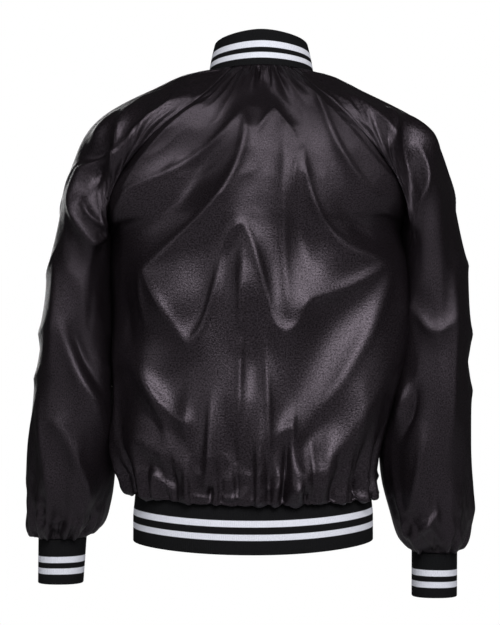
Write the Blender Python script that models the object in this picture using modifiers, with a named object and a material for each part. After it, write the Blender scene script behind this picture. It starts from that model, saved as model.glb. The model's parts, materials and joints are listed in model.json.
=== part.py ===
"""A satin baseball jacket, filled out as if worn, front snapped shut.

Frame: metres, +Z up, the back faces +Y and the wearer's left is +X.  The origin is at the
neck, at the height of the collar's seam at the centre back.
Every piece of cloth is a closed wall: a grid of outer points, and the same grid moved in
along its normals by the cloth's thickness.  Pieces that are sewn together share the points
and the normals of their seam, and each is trimmed back by half of the seam's gap.
"""
import math

import bpy
import numpy as np
from mathutils import Vector

# ---------------------------------------------------------------- driving sizes, in metres
SATIN = 0.0012            # thickness of the shell cloth
KNIT = 0.0024             # thickness of the doubled rib knit
SEAM_GAP = 0.0003         # between two pieces at a seam
BAND_GAP = 0.0005         # between a knit band and the gathered satin above or below it
RIB_DEPTH = 0.00045       # how far a rib stands over the groove beside it
RIB_PITCH = 0.0058        # one rib and its groove

BACK_COLUMNS = 24         # grid steps from the middle of the back to each side
FRONT_COLUMNS = 20        # grid steps across one front
UPPER_ROWS = 10           # grid rows from the underarm up to the neck
NECK_STEPS = 8            # grid steps of a sleeve along the neck
SLEEVE_COLUMNS = 2 * UPPER_ROWS + NECK_STEPS

ROUNDNESS = 2.4           # power of the torso's oval; 2 would be an ellipse
SLEEVE_ROUNDNESS = 2.25   # power of the sleeve's oval

NECK_MIDDLE_X = -0.0065   # the collar stands a little towards the wearer's right
WAIST_MIDDLE_X = 0.0045
NECK_BACK_ANGLE = math.radians(31)     # back raglan seam on the neck ring, from the centre back
NECK_FRONT_ANGLE = math.radians(127)   # front raglan seam on the neck ring

OVERLAP = 0.015           # each front runs this far past the middle
OVERLAP_STEP = 0.0048     # the left front lies this far outside the right one there
OVERLAP_END = 0.019       # up to here from the middle it keeps that distance
OVERLAP_RAMP = 0.030      # width over which it then comes back to the body

WAISTBAND_HEIGHT = 0.078
WAISTBAND_FLARE = 0.0028  # the band stands this far outside its seam half way down
WAISTBAND_HEM = 0.0033    # and this far at its lower edge
WAISTBAND_INSET = 0.0007  # its top lies this far inside the gathered satin
COLLAR_LENGTH = 0.480
COLLAR_ENDS = 0.0035      # each end stands this far from the middle of the front
CUFF_LENGTH = 0.212       # round the wrist
SNAP_RADIUS = 0.0072
SNAP_THICK = 0.0026
SNAP_BACK_RADIUS = 0.0055
SNAP_BACK_THICK = 0.0012
SNAP_SEAT = 0.0005        # between a press stud and the cloth
SNAP_STEPS = 14
SNAP_COUNT = 6            # on the satin; one more closes the waistband
SNAP_TOP = -0.115
SNAP_BOTTOM = -0.575

# colours and finishes: base colour, roughness, metallic
SATIN_BLACK = ((0.012, 0.012, 0.014), 0.38, 0.0)
KNIT_BLACK = ((0.010, 0.010, 0.012), 0.85, 0.0)
SNAP_BLACK = ((0.020, 0.020, 0.022), 0.30, 0.6)


def table(columns, rows):
    """One array for each named column."""
    return dict(zip(columns.split(), np.array(rows, dtype=float).T))


# The torso from the waist seam up to the underarm.  z is the height of the row at the
# centre back, left side, right side and centre front; the rest are distances from the
# middle line to the cloth.  The closing hangs flatter than the cloth beside it, so it has
# a height and a depth of its own.
LOWER = table("z_back z_left z_right z_front z_closing left right back front closing", [
    (-0.6225, -0.6130, -0.6110, -0.6120, -0.612, 0.1735, 0.1715, 0.1195, 0.1250, 0.1250),  # waist seam
    (-0.6290, -0.6210, -0.6260, -0.6220, -0.604, 0.1795, 0.1792, 0.1300, 0.1360, 0.1275),  # over the knit
    (-0.6130, -0.6080, -0.6080, -0.6090, -0.593, 0.1861, 0.1790, 0.1375, 0.1460, 0.1310),
    (-0.5850, -0.5830, -0.5830, -0.5830, -0.576, 0.1957, 0.1785, 0.1410, 0.1510, 0.1355),
    (-0.5500, -0.5500, -0.5500, -0.5500, -0.550, 0.2035, 0.1815, 0.1415, 0.1520, 0.1400),  # fullest
    (-0.5050, -0.5050, -0.5050, -0.5050, -0.505, 0.2055, 0.1880, 0.1400, 0.1500, 0.1430),
    (-0.4550, -0.4550, -0.4550, -0.4550, -0.455, 0.2085, 0.1945, 0.1380, 0.1475, 0.1440),
    (-0.4000, -0.4000, -0.4000, -0.4000, -0.400, 0.2120, 0.2035, 0.1355, 0.1445, 0.1430),
    (-0.3450, -0.3450, -0.3450, -0.3450, -0.345, 0.2130, 0.2110, 0.1335, 0.1410, 0.1405),
    (-0.2900, -0.2900, -0.2900, -0.2900, -0.290, 0.2145, 0.2155, 0.1320, 0.1370, 0.1370),
    (-0.2380, -0.2380, -0.2380, -0.2380, -0.238, 0.2120, 0.2120, 0.1310, 0.1310, 0.1310),  # underarm
])
CLOSING_REACH = 0.022     # half width of the flat closing
CLOSING_RAMP = 0.045      # width over which the cloth beside it fills out
MIDDLE_X = np.linspace(WAIST_MIDDLE_X, -0.001, len(LOWER["left"]))

# The middle lines and the raglan seams above the underarm, each from the bottom up.
CENTRE_BACK = table("x y z", [
    (-0.001, 0.131, -0.238), (-0.002, 0.132, -0.185), (-0.003, 0.126, -0.125),
    (-0.004, 0.112, -0.075), (-0.005, 0.090, -0.035), (NECK_MIDDLE_X, 0.062, 0.001),
])
CENTRE_FRONT = table("x y z", [
    (-0.001, -0.131, -0.238), (-0.001, -0.124, -0.190), (-0.002, -0.110, -0.145),
    (-0.003, -0.093, -0.110), (-0.004, -0.078, -0.086),
])
RAGLAN = {
    ("left", "back"): table("x y z", [
        (0.212, 0.000, -0.238), (0.213, 0.046, -0.208), (0.204, 0.080, -0.172),
        (0.180, 0.101, -0.139), (0.151, 0.109, -0.107), (0.119, 0.107, -0.077),
        (0.079, 0.094, -0.047), (0.035, 0.053, -0.001),
    ]),
    ("right", "back"): table("x y z", [
        (-0.213, 0.000, -0.238), (-0.216, 0.046, -0.208), (-0.212, 0.078, -0.178),
        (-0.190, 0.099, -0.148), (-0.163, 0.109, -0.115), (-0.130, 0.108, -0.077),
        (-0.092, 0.094, -0.040), (-0.047, 0.053, -0.001),
    ]),
    ("left", "front"): table("x y z", [
        (0.212, 0.000, -0.238), (0.211, -0.044, -0.212), (0.202, -0.076, -0.182),
        (0.178, -0.095, -0.150), (0.145, -0.101, -0.118), (0.108, -0.096, -0.088),
        (0.056, -0.048, -0.041),
    ]),
    ("right", "front"): table("x y z", [
        (-0.213, 0.000, -0.238), (-0.213, -0.044, -0.212), (-0.206, -0.076, -0.182),
        (-0.186, -0.095, -0.150), (-0.155, -0.101, -0.118), (-0.120, -0.096, -0.088),
        (-0.069, -0.048, -0.041),
    ]),
}

# The neck ring, from the centre back to the centre front: half width, depth and height.
NECK = table("angle x y z", [
    (0, 0.000, 0.0620, 0.0010), (31, 0.0410, 0.0530, -0.0010), (60, 0.0680, 0.0290, -0.0050),
    (90, 0.0770, -0.0040, -0.0120), (127, 0.0625, -0.0480, -0.0410),
    (155, 0.0330, -0.0700, -0.0700), (180, 0.0000, -0.0780, -0.0860),
])
# How the top of the collar stands over the neck ring: in towards the middle, and up.
COLLAR = table("angle scale forward up", [
    (0, 0.86, 0.010, 0.0543), (60, 0.87, 0.009, 0.0495), (90, 0.89, 0.006, 0.0465),
    (135, 0.90, 0.001, 0.0460), (180, 0.92, -0.001, 0.0470),
])

# Sections of the sleeves, from the shoulder to the cuff.  Each is an oval through an outer
# point (the sleeve's outline) and an inner point (the underarm seam), given by x and z,
# and as deep as back and front say.
SLEEVE = {
    "left": table("outer_x outer_z inner_x inner_z back front", [
        (0.070, -0.010, 0.2120, -0.238, 0.100, -0.092),   # raglan seam
        (0.112, -0.014, 0.2140, -0.243, 0.103, -0.096),
        (0.152, -0.031, 0.2150, -0.248, 0.105, -0.098),
        (0.192, -0.050, 0.2158, -0.254, 0.104, -0.098),
        (0.227, -0.072, 0.2163, -0.261, 0.100, -0.097),
        (0.254, -0.099, 0.2166, -0.270, 0.095, -0.096),
        (0.271, -0.135, 0.2168, -0.282, 0.090, -0.095),
        (0.285, -0.183, 0.2166, -0.299, 0.086, -0.094),
        (0.297, -0.240, 0.2162, -0.323, 0.081, -0.093),
        (0.308, -0.300, 0.2152, -0.357, 0.076, -0.092),
        (0.317, -0.365, 0.2142, -0.402, 0.071, -0.092),
        (0.325, -0.430, 0.2110, -0.450, 0.065, -0.093),
        (0.332, -0.495, 0.2086, -0.502, 0.058, -0.096),
        (0.338, -0.550, 0.2075, -0.552, 0.050, -0.099),
        (0.340, -0.598, 0.2105, -0.598, 0.040, -0.103),
        (0.3405, -0.640, 0.2165, -0.638, 0.028, -0.107),
        (0.3385, -0.674, 0.2280, -0.672, 0.012, -0.108),
        (0.3260, -0.694, 0.2545, -0.692, -0.020, -0.092),  # cuff seam
    ]),
    "right": table("outer_x outer_z inner_x inner_z back front", [
        (-0.083, -0.010, -0.2130, -0.238, 0.100, -0.092),
        (-0.118, -0.016, -0.2150, -0.243, 0.103, -0.096),
        (-0.156, -0.034, -0.2162, -0.248, 0.105, -0.098),
        (-0.193, -0.052, -0.2170, -0.254, 0.104, -0.098),
        (-0.229, -0.073, -0.2176, -0.261, 0.100, -0.097),
        (-0.257, -0.096, -0.2180, -0.270, 0.095, -0.096),
        (-0.275, -0.130, -0.2180, -0.282, 0.090, -0.095),
        (-0.291, -0.184, -0.2172, -0.299, 0.086, -0.094),
        (-0.302, -0.240, -0.2150, -0.323, 0.081, -0.093),
        (-0.312, -0.300, -0.2115, -0.357, 0.076, -0.092),
        (-0.315, -0.365, -0.2050, -0.402, 0.071, -0.092),
        (-0.316, -0.430, -0.1965, -0.450, 0.065, -0.093),
        (-0.318, -0.495, -0.1885, -0.502, 0.058, -0.096),
        (-0.319, -0.550, -0.1812, -0.555, 0.050, -0.099),
        (-0.3195, -0.605, -0.1862, -0.606, 0.040, -0.103),
        (-0.318, -0.652, -0.1980, -0.652, 0.028, -0.107),
        (-0.3135, -0.693, -0.2110, -0.692, 0.012, -0.108),
        (-0.2995, -0.715, -0.2320, -0.713, -0.020, -0.092),
    ]),
}
SEAM_FADE = [1.0, 0.66, 0.36, 0.14, 0.03]   # how much of the raglan seam's shape each section keeps
SPACING_ROWS = 9                            # sections over which the points even out
CUFF = {                                    # half widths at the cuff's end, and its middle
    "left": dict(end_x=0.2935, end_z=-0.7610, end_y=-0.0620, half_x=0.0337, half_y=0.0350),
    "right": dict(end_x=-0.2660, end_z=-0.7810, end_y=-0.0620, half_x=0.0337, half_y=0.0350),
}

# Folds as soft ridges (or troughs, where the height is negative) on the cloth.  Each runs
# on a parabola through a start, a middle and an end, given by x and z, and is as wide as
# its half width says.
FOLD_COLUMNS = "height width x0 z0 x1 z1 x2 z2"
BACK_FOLDS = table(FOLD_COLUMNS, [
    (0.0080, 0.016, 0.018, -0.085, 0.055, -0.200, 0.168, -0.296),    # long curve of the left V
    (0.0060, 0.014, 0.024, -0.080, 0.095, -0.148, 0.178, -0.190),
    (0.0065, 0.015, 0.168, -0.298, 0.135, -0.345, 0.099, -0.405),
    (0.0060, 0.014, 0.100, -0.400, 0.062, -0.320, 0.023, -0.232),    # arch, left leg
    (0.0060, 0.013, 0.022, -0.232, -0.004, -0.310, -0.042, -0.382),  # arch, right leg
    (0.0070, 0.015, -0.066, -0.130, -0.090, -0.215, -0.185, -0.280),
    (0.0060, 0.015, -0.082, -0.045, -0.130, -0.125, -0.176, -0.184),
    (0.0065, 0.015, -0.187, -0.288, -0.127, -0.322, -0.060, -0.362),
    (0.0100, 0.027, -0.190, -0.300, -0.160, -0.420, -0.085, -0.540),  # broad diagonal band
    (0.0075, 0.020, 0.186, -0.410, 0.152, -0.480, 0.120, -0.580),
    (0.0045, 0.013, -0.040, -0.090, -0.043, -0.230, -0.040, -0.350),
    (0.0040, 0.013, 0.026, -0.270, 0.030, -0.430, 0.027, -0.590),
    (-0.0050, 0.018, 0.075, -0.235, 0.080, -0.300, 0.120, -0.330),
    (-0.0050, 0.018, -0.100, -0.260, -0.060, -0.250, -0.045, -0.200),
])
FRONT_FOLDS = {
    "left": table(FOLD_COLUMNS, [
        (0.0070, 0.016, 0.065, -0.100, 0.085, -0.190, 0.170, -0.285),
        (0.0060, 0.015, 0.175, -0.300, 0.130, -0.350, 0.075, -0.400),
        (0.0080, 0.022, 0.178, -0.370, 0.140, -0.470, 0.080, -0.570),
        (0.0045, 0.014, 0.055, -0.250, 0.050, -0.400, 0.055, -0.560),
    ]),
    "right": table(FOLD_COLUMNS, [
        (0.0065, 0.016, -0.075, -0.100, -0.110, -0.200, -0.178, -0.270),
        (0.0065, 0.015, -0.178, -0.290, -0.120, -0.335, -0.060, -0.370),
        (0.0085, 0.023, -0.175, -0.350, -0.130, -0.460, -0.070, -0.560),
        (0.0045, 0.014, -0.050, -0.200, -0.052, -0.330, -0.048, -0.520),
    ]),
}
# Folds across the sleeves, on the side that faces the back.
SLEEVE_FOLDS = {
    "left": table(FOLD_COLUMNS, [
        (0.0060, 0.013, 0.125, -0.062, 0.175, -0.100, 0.212, -0.165),   # beside the raglan seam
        (0.0070, 0.014, 0.205, -0.075, 0.225, -0.105, 0.235, -0.125),
        (-0.0070, 0.011, 0.255, -0.138, 0.225, -0.140, 0.205, -0.128),
        (0.0060, 0.011, 0.255, -0.152, 0.225, -0.150, 0.205, -0.146),
        (0.0070, 0.013, 0.258, -0.160, 0.250, -0.235, 0.218, -0.236),
        (0.0070, 0.018, 0.285, -0.370, 0.265, -0.440, 0.220, -0.545),
        (-0.0050, 0.014, 0.272, -0.380, 0.252, -0.430, 0.235, -0.470),
        (0.0055, 0.015, 0.300, -0.500, 0.275, -0.560, 0.250, -0.640),
    ]),
    "right": table(FOLD_COLUMNS, [
        (0.0065, 0.013, -0.172, -0.062, -0.192, -0.095, -0.180, -0.140),
        (0.0070, 0.015, -0.200, -0.072, -0.230, -0.100, -0.255, -0.140),
        (-0.0060, 0.012, -0.190, -0.085, -0.214, -0.150, -0.220, -0.200),
        (0.0060, 0.013, -0.228, -0.360, -0.250, -0.385, -0.278, -0.365),
        (0.0060, 0.014, -0.222, -0.465, -0.212, -0.490, -0.190, -0.525),
        (0.0055, 0.015, -0.262, -0.640, -0.240, -0.665, -0.228, -0.690),
        (0.0050, 0.016, -0.290, -0.420, -0.285, -0.500, -0.275, -0.600),
    ]),
}
HEM_GATHERS_BACK = 12       # half on each side of the middle
HEM_GATHERS_FRONT = 6
HEM_GATHER_HEIGHT = 0.0034
HEM_GATHER_REACH = 0.110    # how far up from the waist the gathers run out
NECK_GATHERS = 8
NECK_GATHER_HEIGHT = 0.0016
CUFF_GATHERS = 7
CUFF_GATHER_HEIGHT = 0.0036
CUFF_GATHER_REACH = 0.085
FOLDS_START = 0.07          # the folds have their full height this far above the waist
FRONT_PLAIN = 0.042         # width of the double cloth beside the closing, which has no folds
FRONT_FADE = 0.030          # width over which a front's folds then rise
FRONT_SHIFT = 0.022         # a sleeve's folds lie this much lower on its front
DRAW = {"back": 3, "neck": 5, "front_left": 7, "front_right": 8, "sleeve_left": 11, "sleeve_right": 12}


# ---------------------------------------------------------------- curves and grids
def smooth(x):
    """0 below 0, 1 above 1, and a soft step between."""
    x = np.clip(x, 0.0, 1.0)
    return x * x * (3.0 - 2.0 * x)


def unit(vectors):
    """The vectors at length 1."""
    return vectors / np.linalg.norm(vectors, axis=-1, keepdims=True)


def fraction_along(points):
    """How far along its line each point lies, from 0 to 1."""
    along = np.concatenate([[0.0], np.cumsum(np.linalg.norm(np.diff(points, axis=0), axis=1))])
    return along / along[-1]


def at_fractions(points, fractions):
    """The points of a line at the given fractions of its length."""
    along = fraction_along(points)
    return np.stack([np.interp(fractions, along, points[:, k]) for k in range(3)], axis=1)


def evenly(points, steps):
    """The points of a line, spaced evenly along it."""
    return at_fractions(points, np.linspace(0.0, 1.0, steps + 1))


def cubic(places, knots, values):
    """A smooth curve through values at the knots (a cubic on each stretch)."""
    slopes = np.gradient(values, knots)
    k = np.clip(np.searchsorted(knots, places, side="right") - 1, 0, len(knots) - 2)
    h = knots[k + 1] - knots[k]
    s = (places - knots[k]) / h
    return ((1 + 2 * s) * (1 - s) ** 2 * values[k] + s * (1 - s) ** 2 * h * slopes[k]
            + s * s * (3 - 2 * s) * values[k + 1] + s * s * (s - 1) * h * slopes[k + 1])


def line_through(rows, steps):
    """A smooth line through a table's x, y and z, in even steps."""
    knots = np.arange(len(rows["x"]), dtype=float)
    places = np.linspace(0.0, knots[-1], 200)
    points = np.stack([cubic(places, knots, rows[c]) for c in "xyz"], axis=1)
    return evenly(points, steps)


def round_neck(rows, column, size, odd=False):
    """A column of a table by its angle, 0 to 180 degrees, running on smoothly through the
    centre back and the centre front; odd where the other half has the opposite sign."""
    angle, values, sign = rows["angle"], rows[column], -1.0 if odd else 1.0
    knots = np.concatenate([[-angle[1]], angle, [360.0 - angle[-2]]])
    return cubic(size, knots, np.concatenate([[sign * values[1]], values, [sign * values[-2]]]))


def neck_ring(angles):
    """Points of the neck seam; an angle is from the centre back, to the left where positive."""
    size = np.degrees(np.abs(angles))
    x = np.sign(angles) * round_neck(NECK, "x", size, odd=True) + NECK_MIDDLE_X
    y = round_neck(NECK, "y", size)
    z = round_neck(NECK, "z", size)
    return np.stack([x, y, z], axis=1)


def half_row(middle, edge, power, steps, start=0.0):
    """From the middle line to an edge.  With t running across from 0 to 1, x goes straight
    over, the depth falls as (1 - t**ROUNDNESS)**(1/power) and the height as t squared."""
    t = np.sin(np.linspace(math.asin(start), math.pi / 2, 300))
    bulge = (1.0 - np.abs(t) ** ROUNDNESS) ** (1.0 / power)
    points = np.stack([
        middle[0] + (edge[0] - middle[0]) * t,
        edge[1] + (middle[1] - edge[1]) * bulge,
        middle[2] + (edge[2] - middle[2]) * t * t,
    ], axis=1)
    return evenly(points, steps)


def torso_lines(side, face):
    """The middle line and the edge of one half of the torso, from the waist to the neck,
    with the power of the bulge for each row."""
    sign = 1.0 if side == "left" else -1.0
    facing = 1.0 if face == "back" else -1.0
    middle_low = np.stack([MIDDLE_X, facing * LOWER[face], LOWER["z_" + face]], axis=1)
    edge_low = np.stack([MIDDLE_X + sign * LOWER[side], 0.0 * MIDDLE_X, LOWER["z_" + side]], axis=1)
    middle_up = line_through(CENTRE_BACK if face == "back" else CENTRE_FRONT, UPPER_ROWS)
    edge_up = line_through(RAGLAN[side, face], UPPER_ROWS)
    neck_angle = NECK_BACK_ANGLE if face == "back" else NECK_FRONT_ANGLE
    edge_up[-1] = neck_ring(np.array([sign * neck_angle]))[0]
    edge_low[-1] = edge_up[0]
    middle = np.concatenate([middle_low, middle_up[1:]])
    edge = np.concatenate([edge_low, edge_up[1:]])
    rise = smooth(np.arange(UPPER_ROWS + 1) / 5.0)
    power = ROUNDNESS + (1.0 - ROUNDNESS) * rise
    return middle, edge, np.concatenate([np.full(len(MIDDLE_X), ROUNDNESS), power[1:]])


def back_grid():
    """Rows from the waist to the neck, columns from the left edge to the right edge."""
    halves = []
    for side in ("left", "right"):
        middle, edge, power = torso_lines(side, "back")
        rows = [half_row(m, e, p, BACK_COLUMNS) for m, e, p in zip(middle, edge, power)]
        halves.append(np.array(rows))
    grid = np.concatenate([halves[0][:, ::-1], halves[1][:, 1:]], axis=1)
    angles = np.linspace(NECK_BACK_ANGLE, -NECK_BACK_ANGLE, 2 * BACK_COLUMNS + 1)
    grid[-1] = neck_ring(angles)
    return grid


def front_grid(side):
    """Rows from the waist to the neck, columns from past the middle out to the edge."""
    sign = 1.0 if side == "left" else -1.0
    middle, edge, power = torso_lines(side, "front")
    rows = []
    for m, e, p in zip(middle, edge, power):
        rows.append(half_row(m, e, p, FRONT_COLUMNS, -OVERLAP / abs(e[0] - m[0])))
    grid = np.array(rows)
    turned = np.linspace(math.pi + OVERLAP / NECK["x"][3], NECK_FRONT_ANGLE, FRONT_COLUMNS + 1)
    past = turned > math.pi
    neck = neck_ring(sign * np.where(past, 2.0 * math.pi - turned, turned))
    neck[:, 0] = np.where(past, 2.0 * NECK_MIDDLE_X - neck[:, 0], neck[:, 0])
    grid[-1] = neck
    across = sign * (grid[:, :, 0] - middle[:, :1])
    flat = 1.0 - smooth((np.abs(across) - CLOSING_REACH) / CLOSING_RAMP)
    low = len(MIDDLE_X)
    grid[:low, :, 1] += flat[:low] * (LOWER["front"] - LOWER["closing"])[:, None]
    grid[:low, :, 2] += flat[:low] * (LOWER["z_closing"] - LOWER["z_front"])[:, None]
    if side == "left":
        grid[:, :, 1] -= overlap_step(across)
    return grid


def overlap_step(across):
    """How far the left side of the closing lies outside; across is measured to the left."""
    return OVERLAP_STEP * smooth((OVERLAP_END + OVERLAP_RAMP - across) / OVERLAP_RAMP)


def oval(row, count, spread_back, spread_front):
    """One section of a sleeve, from the underarm over the back, the outside and the front,
    with count steps over the back and as many over the front.  A spread is how much, and in
    which fractions, the points keep the spacing of the raglan seam."""
    outer = np.array([row["outer_x"], 0.0, row["outer_z"]])
    inner = np.array([row["inner_x"], 0.0, row["inner_z"]])
    middle_y = 0.5 * (row["back"] + row["front"])
    half_y = 0.5 * (row["back"] - row["front"])
    turn = np.linspace(0.0, math.pi, 200)
    across = np.sign(np.cos(turn)) * np.abs(np.cos(turn)) ** (2.0 / SLEEVE_ROUNDNESS)
    deep = np.abs(np.sin(turn)) ** (2.0 / SLEEVE_ROUNDNESS)
    base = 0.5 * (outer + inner) + 0.5 * (inner - outer) * across[:, None]
    back = base + np.stack([0 * deep, middle_y + half_y * deep, 0 * deep], axis=1)
    front = base[::-1] + np.stack([0 * deep, middle_y - half_y * deep, 0 * deep], axis=1)
    even = np.linspace(0, 1, count + 1)
    first = at_fractions(back, (1 - spread_back[0]) * even + spread_back[0] * spread_back[1])
    second = at_fractions(front, (1 - spread_front[0]) * even + spread_front[0] * spread_front[1])
    return np.concatenate([first[:-1], second[:-1]])


def seam_ring(side):
    """A sleeve's first ring: up the back raglan seam, along the neck, down the front one."""
    sign = 1.0 if side == "left" else -1.0
    back_edge = torso_lines(side, "back")[1][-UPPER_ROWS - 1:]
    front_edge = torso_lines(side, "front")[1][-UPPER_ROWS - 1:]
    neck = neck_ring(sign * np.linspace(NECK_BACK_ANGLE, NECK_FRONT_ANGLE, NECK_STEPS + 1))
    return np.concatenate([back_edge, neck[1:], front_edge[::-1][1:-1]])


def sleeve_grid(side):
    """Rows from the raglan seam to the cuff seam, columns round the arm (a closed ring)."""
    rows = SLEEVE[side]
    ring = seam_ring(side)
    half = SLEEVE_COLUMNS // 2
    spread_back = fraction_along(ring[:half + 1])
    spread_front = fraction_along(np.concatenate([ring[half:], ring[:1]]))
    sections = []
    for k in range(len(rows["back"])):
        row = {name: rows[name][k] for name in rows}
        keep = 1.0 - smooth(k / SPACING_ROWS)
        sections.append(oval(row, half, (keep, spread_back), (keep, spread_front)))
    grid = np.array(sections)
    offset = ring - grid[0]
    for k, fade in enumerate(SEAM_FADE):
        grid[k] += fade * offset
    return grid


# ---------------------------------------------------------------- folds and gathers
def grid_normals(grid, ring=False):
    """Outward normals of a grid of points."""
    if ring:
        across = np.roll(grid, -1, axis=1) - np.roll(grid, 1, axis=1)
    else:
        across = np.gradient(grid, axis=1)
    along = np.gradient(grid, axis=0)
    normals = np.cross(across, along)
    normals /= np.linalg.norm(normals, axis=2, keepdims=True)
    outward = np.sum(normals * (grid - grid.mean(axis=(0, 1))))
    return normals if outward > 0 else -normals


def folds(grid, rows):
    """Height of the ridges at each point of a grid, seen straight from the back or front.
    A ridge is highest half way along, and its sides fall as exp(-(distance / width)**2)."""
    x, z = grid[:, :, 0], grid[:, :, 2]
    total = np.zeros(x.shape)
    s = np.linspace(0.0, 1.0, 50)
    first, second, third = (1 - s) * (1 - 2 * s), 4 * s * (1 - s), s * (2 * s - 1)
    for k in range(len(rows["height"])):
        route_x = rows["x0"][k] * first + rows["x1"][k] * second + rows["x2"][k] * third
        route_z = rows["z0"][k] * first + rows["z1"][k] * second + rows["z2"][k] * third
        strength = np.sqrt(np.sin(math.pi * np.clip(s, 0.04, 0.96)))
        apart = (x[..., None] - route_x) ** 2 + (z[..., None] - route_z) ** 2
        here = strength * np.exp(-apart / rows["width"][k] ** 2)
        total += rows["height"][k] * here.max(axis=2)
    return total


def edge_fade(shape, ring=False, columns=2.0, bottom=2.0, top=2.0):
    """1 inside a panel and 0 on its edges, so that seams keep their line."""
    r = np.arange(shape[0])[:, None]
    c = np.arange(shape[1])[None, :]
    fade = smooth(r / bottom) * smooth((shape[0] - 1 - r) / top)
    if not ring:
        fade = fade * smooth(c / columns) * smooth((shape[1] - 1 - c) / columns)
    return fade * np.ones(shape)


def waves(columns, count, seed, ring=False):
    """Gathers across a panel: rounded waves, no two alike in place or height.  The seed
    picks their places and heights."""
    draw = np.random.default_rng(seed)
    u = np.arange(columns + (0 if ring else 1)) / columns
    phase = u * count + 0.16 * np.sin(2 * math.pi * (u * 2 + draw.random()))
    size = 0.75 + 0.45 * draw.random(count + 2)
    return np.cos(2 * math.pi * phase) * np.interp(u * count, np.arange(count + 2), size)


def shape_back(grid):
    """Folds over the back, gathers at the waist and at the neck."""
    normals = grid_normals(grid)
    shape = grid.shape[:2]
    height = folds(grid, BACK_FOLDS)
    up = grid[:, :, 2] - grid[:1, :, 2]
    hem = smooth(1.0 - up / HEM_GATHER_REACH) * HEM_GATHER_HEIGHT
    height *= smooth(up / FOLDS_START)
    height += hem * waves(2 * BACK_COLUMNS, HEM_GATHERS_BACK, DRAW["back"])[None, :]
    rows_from_top = (shape[0] - 1 - np.arange(shape[0]))[:, None]
    neck = np.exp(-((rows_from_top - 2.2) / 1.8) ** 2) * NECK_GATHER_HEIGHT
    height += neck * waves(2 * BACK_COLUMNS, NECK_GATHERS, DRAW["neck"])[None, :]
    height *= edge_fade(shape, bottom=3.0, top=1.6)
    return grid + normals * height[:, :, None]


def shape_front(grid, side):
    """Folds over a front and gathers at the waist, none at the closing."""
    normals = grid_normals(grid)
    shape = grid.shape[:2]
    up = grid[:, :, 2] - grid[:1, :, 2]
    hem = smooth(1.0 - up / HEM_GATHER_REACH) * HEM_GATHER_HEIGHT
    gathers = waves(FRONT_COLUMNS, HEM_GATHERS_FRONT, DRAW["front_" + side])
    height = folds(grid, FRONT_FOLDS[side]) * smooth(up / FOLDS_START) + hem * gathers[None, :]
    from_edge = np.abs(grid[:, :, 0] - grid[:, :1, 0])
    height *= smooth((from_edge - FRONT_PLAIN) / FRONT_FADE)
    height *= edge_fade(shape, bottom=3.0, top=1.6)
    return grid + normals * height[:, :, None]


def shape_sleeve(grid, side):
    """Folds on the outer side of a sleeve and gathers at the cuff."""
    normals = grid_normals(grid, ring=True)
    turn = np.arange(SLEEVE_COLUMNS) / SLEEVE_COLUMNS
    free = smooth(np.minimum(turn, 1.0 - turn) / 0.12)[None, :]     # 0 against the body
    faces_back = smooth((normals[:, :, 1] + 0.35) / 0.5)
    faces_front = smooth((0.35 - normals[:, :, 1]) / 0.5)
    across = folds(grid, SLEEVE_FOLDS[side])
    shifted = grid + np.array([0.0, 0.0, FRONT_SHIFT])
    height = across * faces_back + 0.9 * folds(shifted, SLEEVE_FOLDS[side]) * faces_front
    up = grid[:, :, 2] - grid[-1:, :, 2]
    cuff = smooth(1.0 - up / CUFF_GATHER_REACH) * CUFF_GATHER_HEIGHT
    height += cuff * waves(SLEEVE_COLUMNS, CUFF_GATHERS, DRAW["sleeve_" + side], ring=True)[None, :]
    height *= free * edge_fade(grid.shape[:2], ring=True, bottom=3.0, top=1.0)
    return grid + normals * height[:, :, None]


# ---------------------------------------------------------------- walls and objects
def material(name, finish):
    """A plain material with the cloth's colour and finish."""
    colour, roughness, metallic = finish
    made = bpy.data.materials.new(name)
    made.use_nodes = True
    shader = made.node_tree.nodes["Principled BSDF"]
    shader.inputs["Base Color"].default_value = (*colour, 1.0)
    shader.inputs["Roughness"].default_value = roughness
    shader.inputs["Metallic"].default_value = metallic
    made.diffuse_color = (*colour, 1.0)
    return made


def new_object(name, verts, faces, finish, collection):
    """A mesh object with its own material."""
    mesh = bpy.data.meshes.new(name)
    mesh.from_pydata([tuple(v) for v in verts], [], faces)
    mesh.validate()
    mesh.materials.append(material(name, finish))
    mesh.shade_smooth()
    made = bpy.data.objects.new(name, mesh)
    collection.objects.link(made)
    return made


def quads(index):
    """Faces of a grid of vertex numbers."""
    corners = (index[:-1, :-1], index[:-1, 1:], index[1:, 1:], index[1:, :-1])
    return np.stack([c.ravel() for c in corners], axis=1).tolist()


def triangles(index, points):
    """Faces of a grid, each cell cut along its shorter diagonal, so that the outside and the
    inside of a wall are cut alike."""
    a, b, c, d = index[:-1, :-1], index[:-1, 1:], index[1:, 1:], index[1:, :-1]
    one_way = np.linalg.norm(points[a] - points[c], axis=2)
    first = one_way <= np.linalg.norm(points[b] - points[d], axis=2)
    one = np.where(first[..., None], np.stack([a, b, c], axis=2), np.stack([a, b, d], axis=2))
    two = np.where(first[..., None], np.stack([a, c, d], axis=2), np.stack([b, c, d], axis=2))
    return np.concatenate([one.reshape(-1, 3), two.reshape(-1, 3)])


def strip(first, second):
    """Faces that join two lines of vertex numbers, as the edge of a wall."""
    return [(first[k + 1], first[k], second[k], second[k + 1]) for k in range(len(first) - 1)]


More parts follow.
